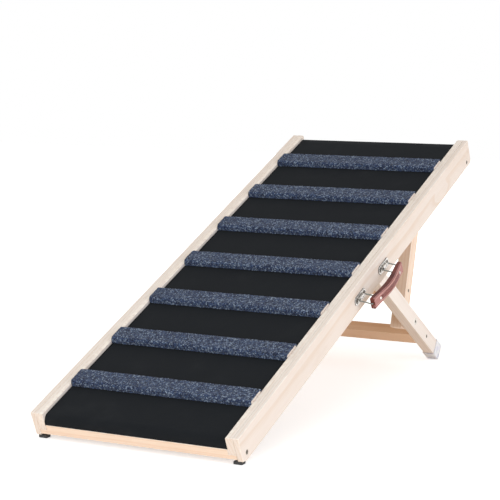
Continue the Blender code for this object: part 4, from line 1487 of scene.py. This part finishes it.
@dataclass(frozen=True)
class Studio:
    """Camera, lamps, surroundings and floor."""

    eye: Triple = (1.44412, -1.81627, 1.46782)
    right: Triple = (0.87832518, 0.43920457, -0.18879679)
    down: Triple = (0.06015734, -0.49332109, -0.8677646)
    ahead: Triple = (-0.47426362, 0.75082198, -0.45971772)
    lens: float = 120.36
    sensor: float = 36.0
    fill: float = 0.59
    glow: Triple = (1.0, 0.922, 0.81)
    floor_size: float = 9.0
    floor_seen: Colour = srgb(238, 241, 246)
    floor_glow: Colour = srgb(252, 236, 220)
    floor_lift: float = 0.54
    floor_near: float = 0.55
    floor_far: float = 1.5
    lamps: tuple[Lamp, ...] = (
        Lamp("key_lamp", (2.9, -0.9, 0.9), 2.8, 60.0, (0.85, 0.92, 1.0)),
        Lamp("front_lamp", (-0.4, -3.0, 0.7), 2.2, 41.0, (0.87, 0.95, 1.0)),
        Lamp("top_lamp", (0.3, 0.2, 3.2), 2.4, 4.0, (0.98, 0.99, 1.0)),
        Lamp("left_lamp", (-2.6, 0.6, 1.3), 1.2, 6.0),
    )

    def build(self) -> None:
        """Set up the whole studio."""
        self.add_camera()
        self.add_floor()
        self.add_world()
        for lamp in self.lamps:
            lamp.build()
        bpy.context.scene.view_settings.view_transform = "Standard"

    def add_camera(self) -> None:
        """Place the camera where the photograph was taken from."""
        data = bpy.data.cameras.new("studio_camera")
        data.lens = self.lens
        data.sensor_width = self.sensor
        data.clip_end = 50.0
        camera = linked("studio_camera", data)
        columns = (Vector(self.right), -Vector(self.down), -Vector(self.ahead))
        local = Matrix(columns).transposed().to_4x4()
        local.translation = self.eye
        camera.matrix_world = PLACES.ramp @ local
        bpy.context.scene.camera = camera

    def add_floor(self) -> None:
        """Lay a plain pale floor that keeps a soft shadow."""
        shape = bmesh.new()
        bmesh.ops.create_grid(shape, x_segments=1, y_segments=1, size=self.floor_size / 2)
        floor = make_object("studio_floor", shape, Matrix.Translation((0.0, 0.0, -0.0004)))
        material = bpy.data.materials.new("pale_floor")
        material.use_nodes = True
        write = NodeWriter(material.node_tree)
        seen = self.seen_rays(write)
        reach = write.vector("LENGTH", write.place)["Value"]
        lift = write.span(reach, self.floor_near, self.floor_far, self.floor_lift, 1.0)
        write.shade("Principled BSDF", {
            "Base Color": write.mix(seen, self.floor_glow, self.floor_seen), "Roughness": 0.9,
            "Specular IOR Level": 0.0, "Emission Color": WHITE,
            "Emission Strength": write.times(seen, lift)})
        floor.data.materials.append(material)

    def seen_rays(self, write: NodeWriter) -> Socket:
        """One for rays from the camera, a mirror or glass."""
        path = write.add("ShaderNodeLightPath").outputs
        first = write.math("MAXIMUM", path["Is Camera Ray"], path["Is Glossy Ray"])
        return write.math("MAXIMUM", first, path["Is Transmission Ray"])

    def add_world(self) -> None:
        """Surround the ramp with soft light, warmed by the room, that is itself seen as white."""
        world = bpy.data.worlds.new("studio_world")
        world.use_nodes = True
        write = NodeWriter(world.node_tree)
        seen = self.seen_rays(write)
        write.shade("Background", {"Color": write.mix(seen, (*self.glow, 1.0), WHITE),
                                   "Strength": write.plus(seen, 1.0 - self.fill, self.fill)})
        bpy.context.scene.world = world


def main() -> None:
    """Build and dress every sub-assembly, then light it."""
    logging.basicConfig(level=logging.INFO, format="%(message)s")
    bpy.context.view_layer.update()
    for assembly in (SideRails(), Deck(), Treads(), DeckRacks(), LegFrame(), StrutFrame(),
                     CarryHandle()):
        LOG.info("building %s", type(assembly).__name__)
        assembly.build()
        assembly.dress()
    Studio().build()


if __name__ == "__main__":
    main()
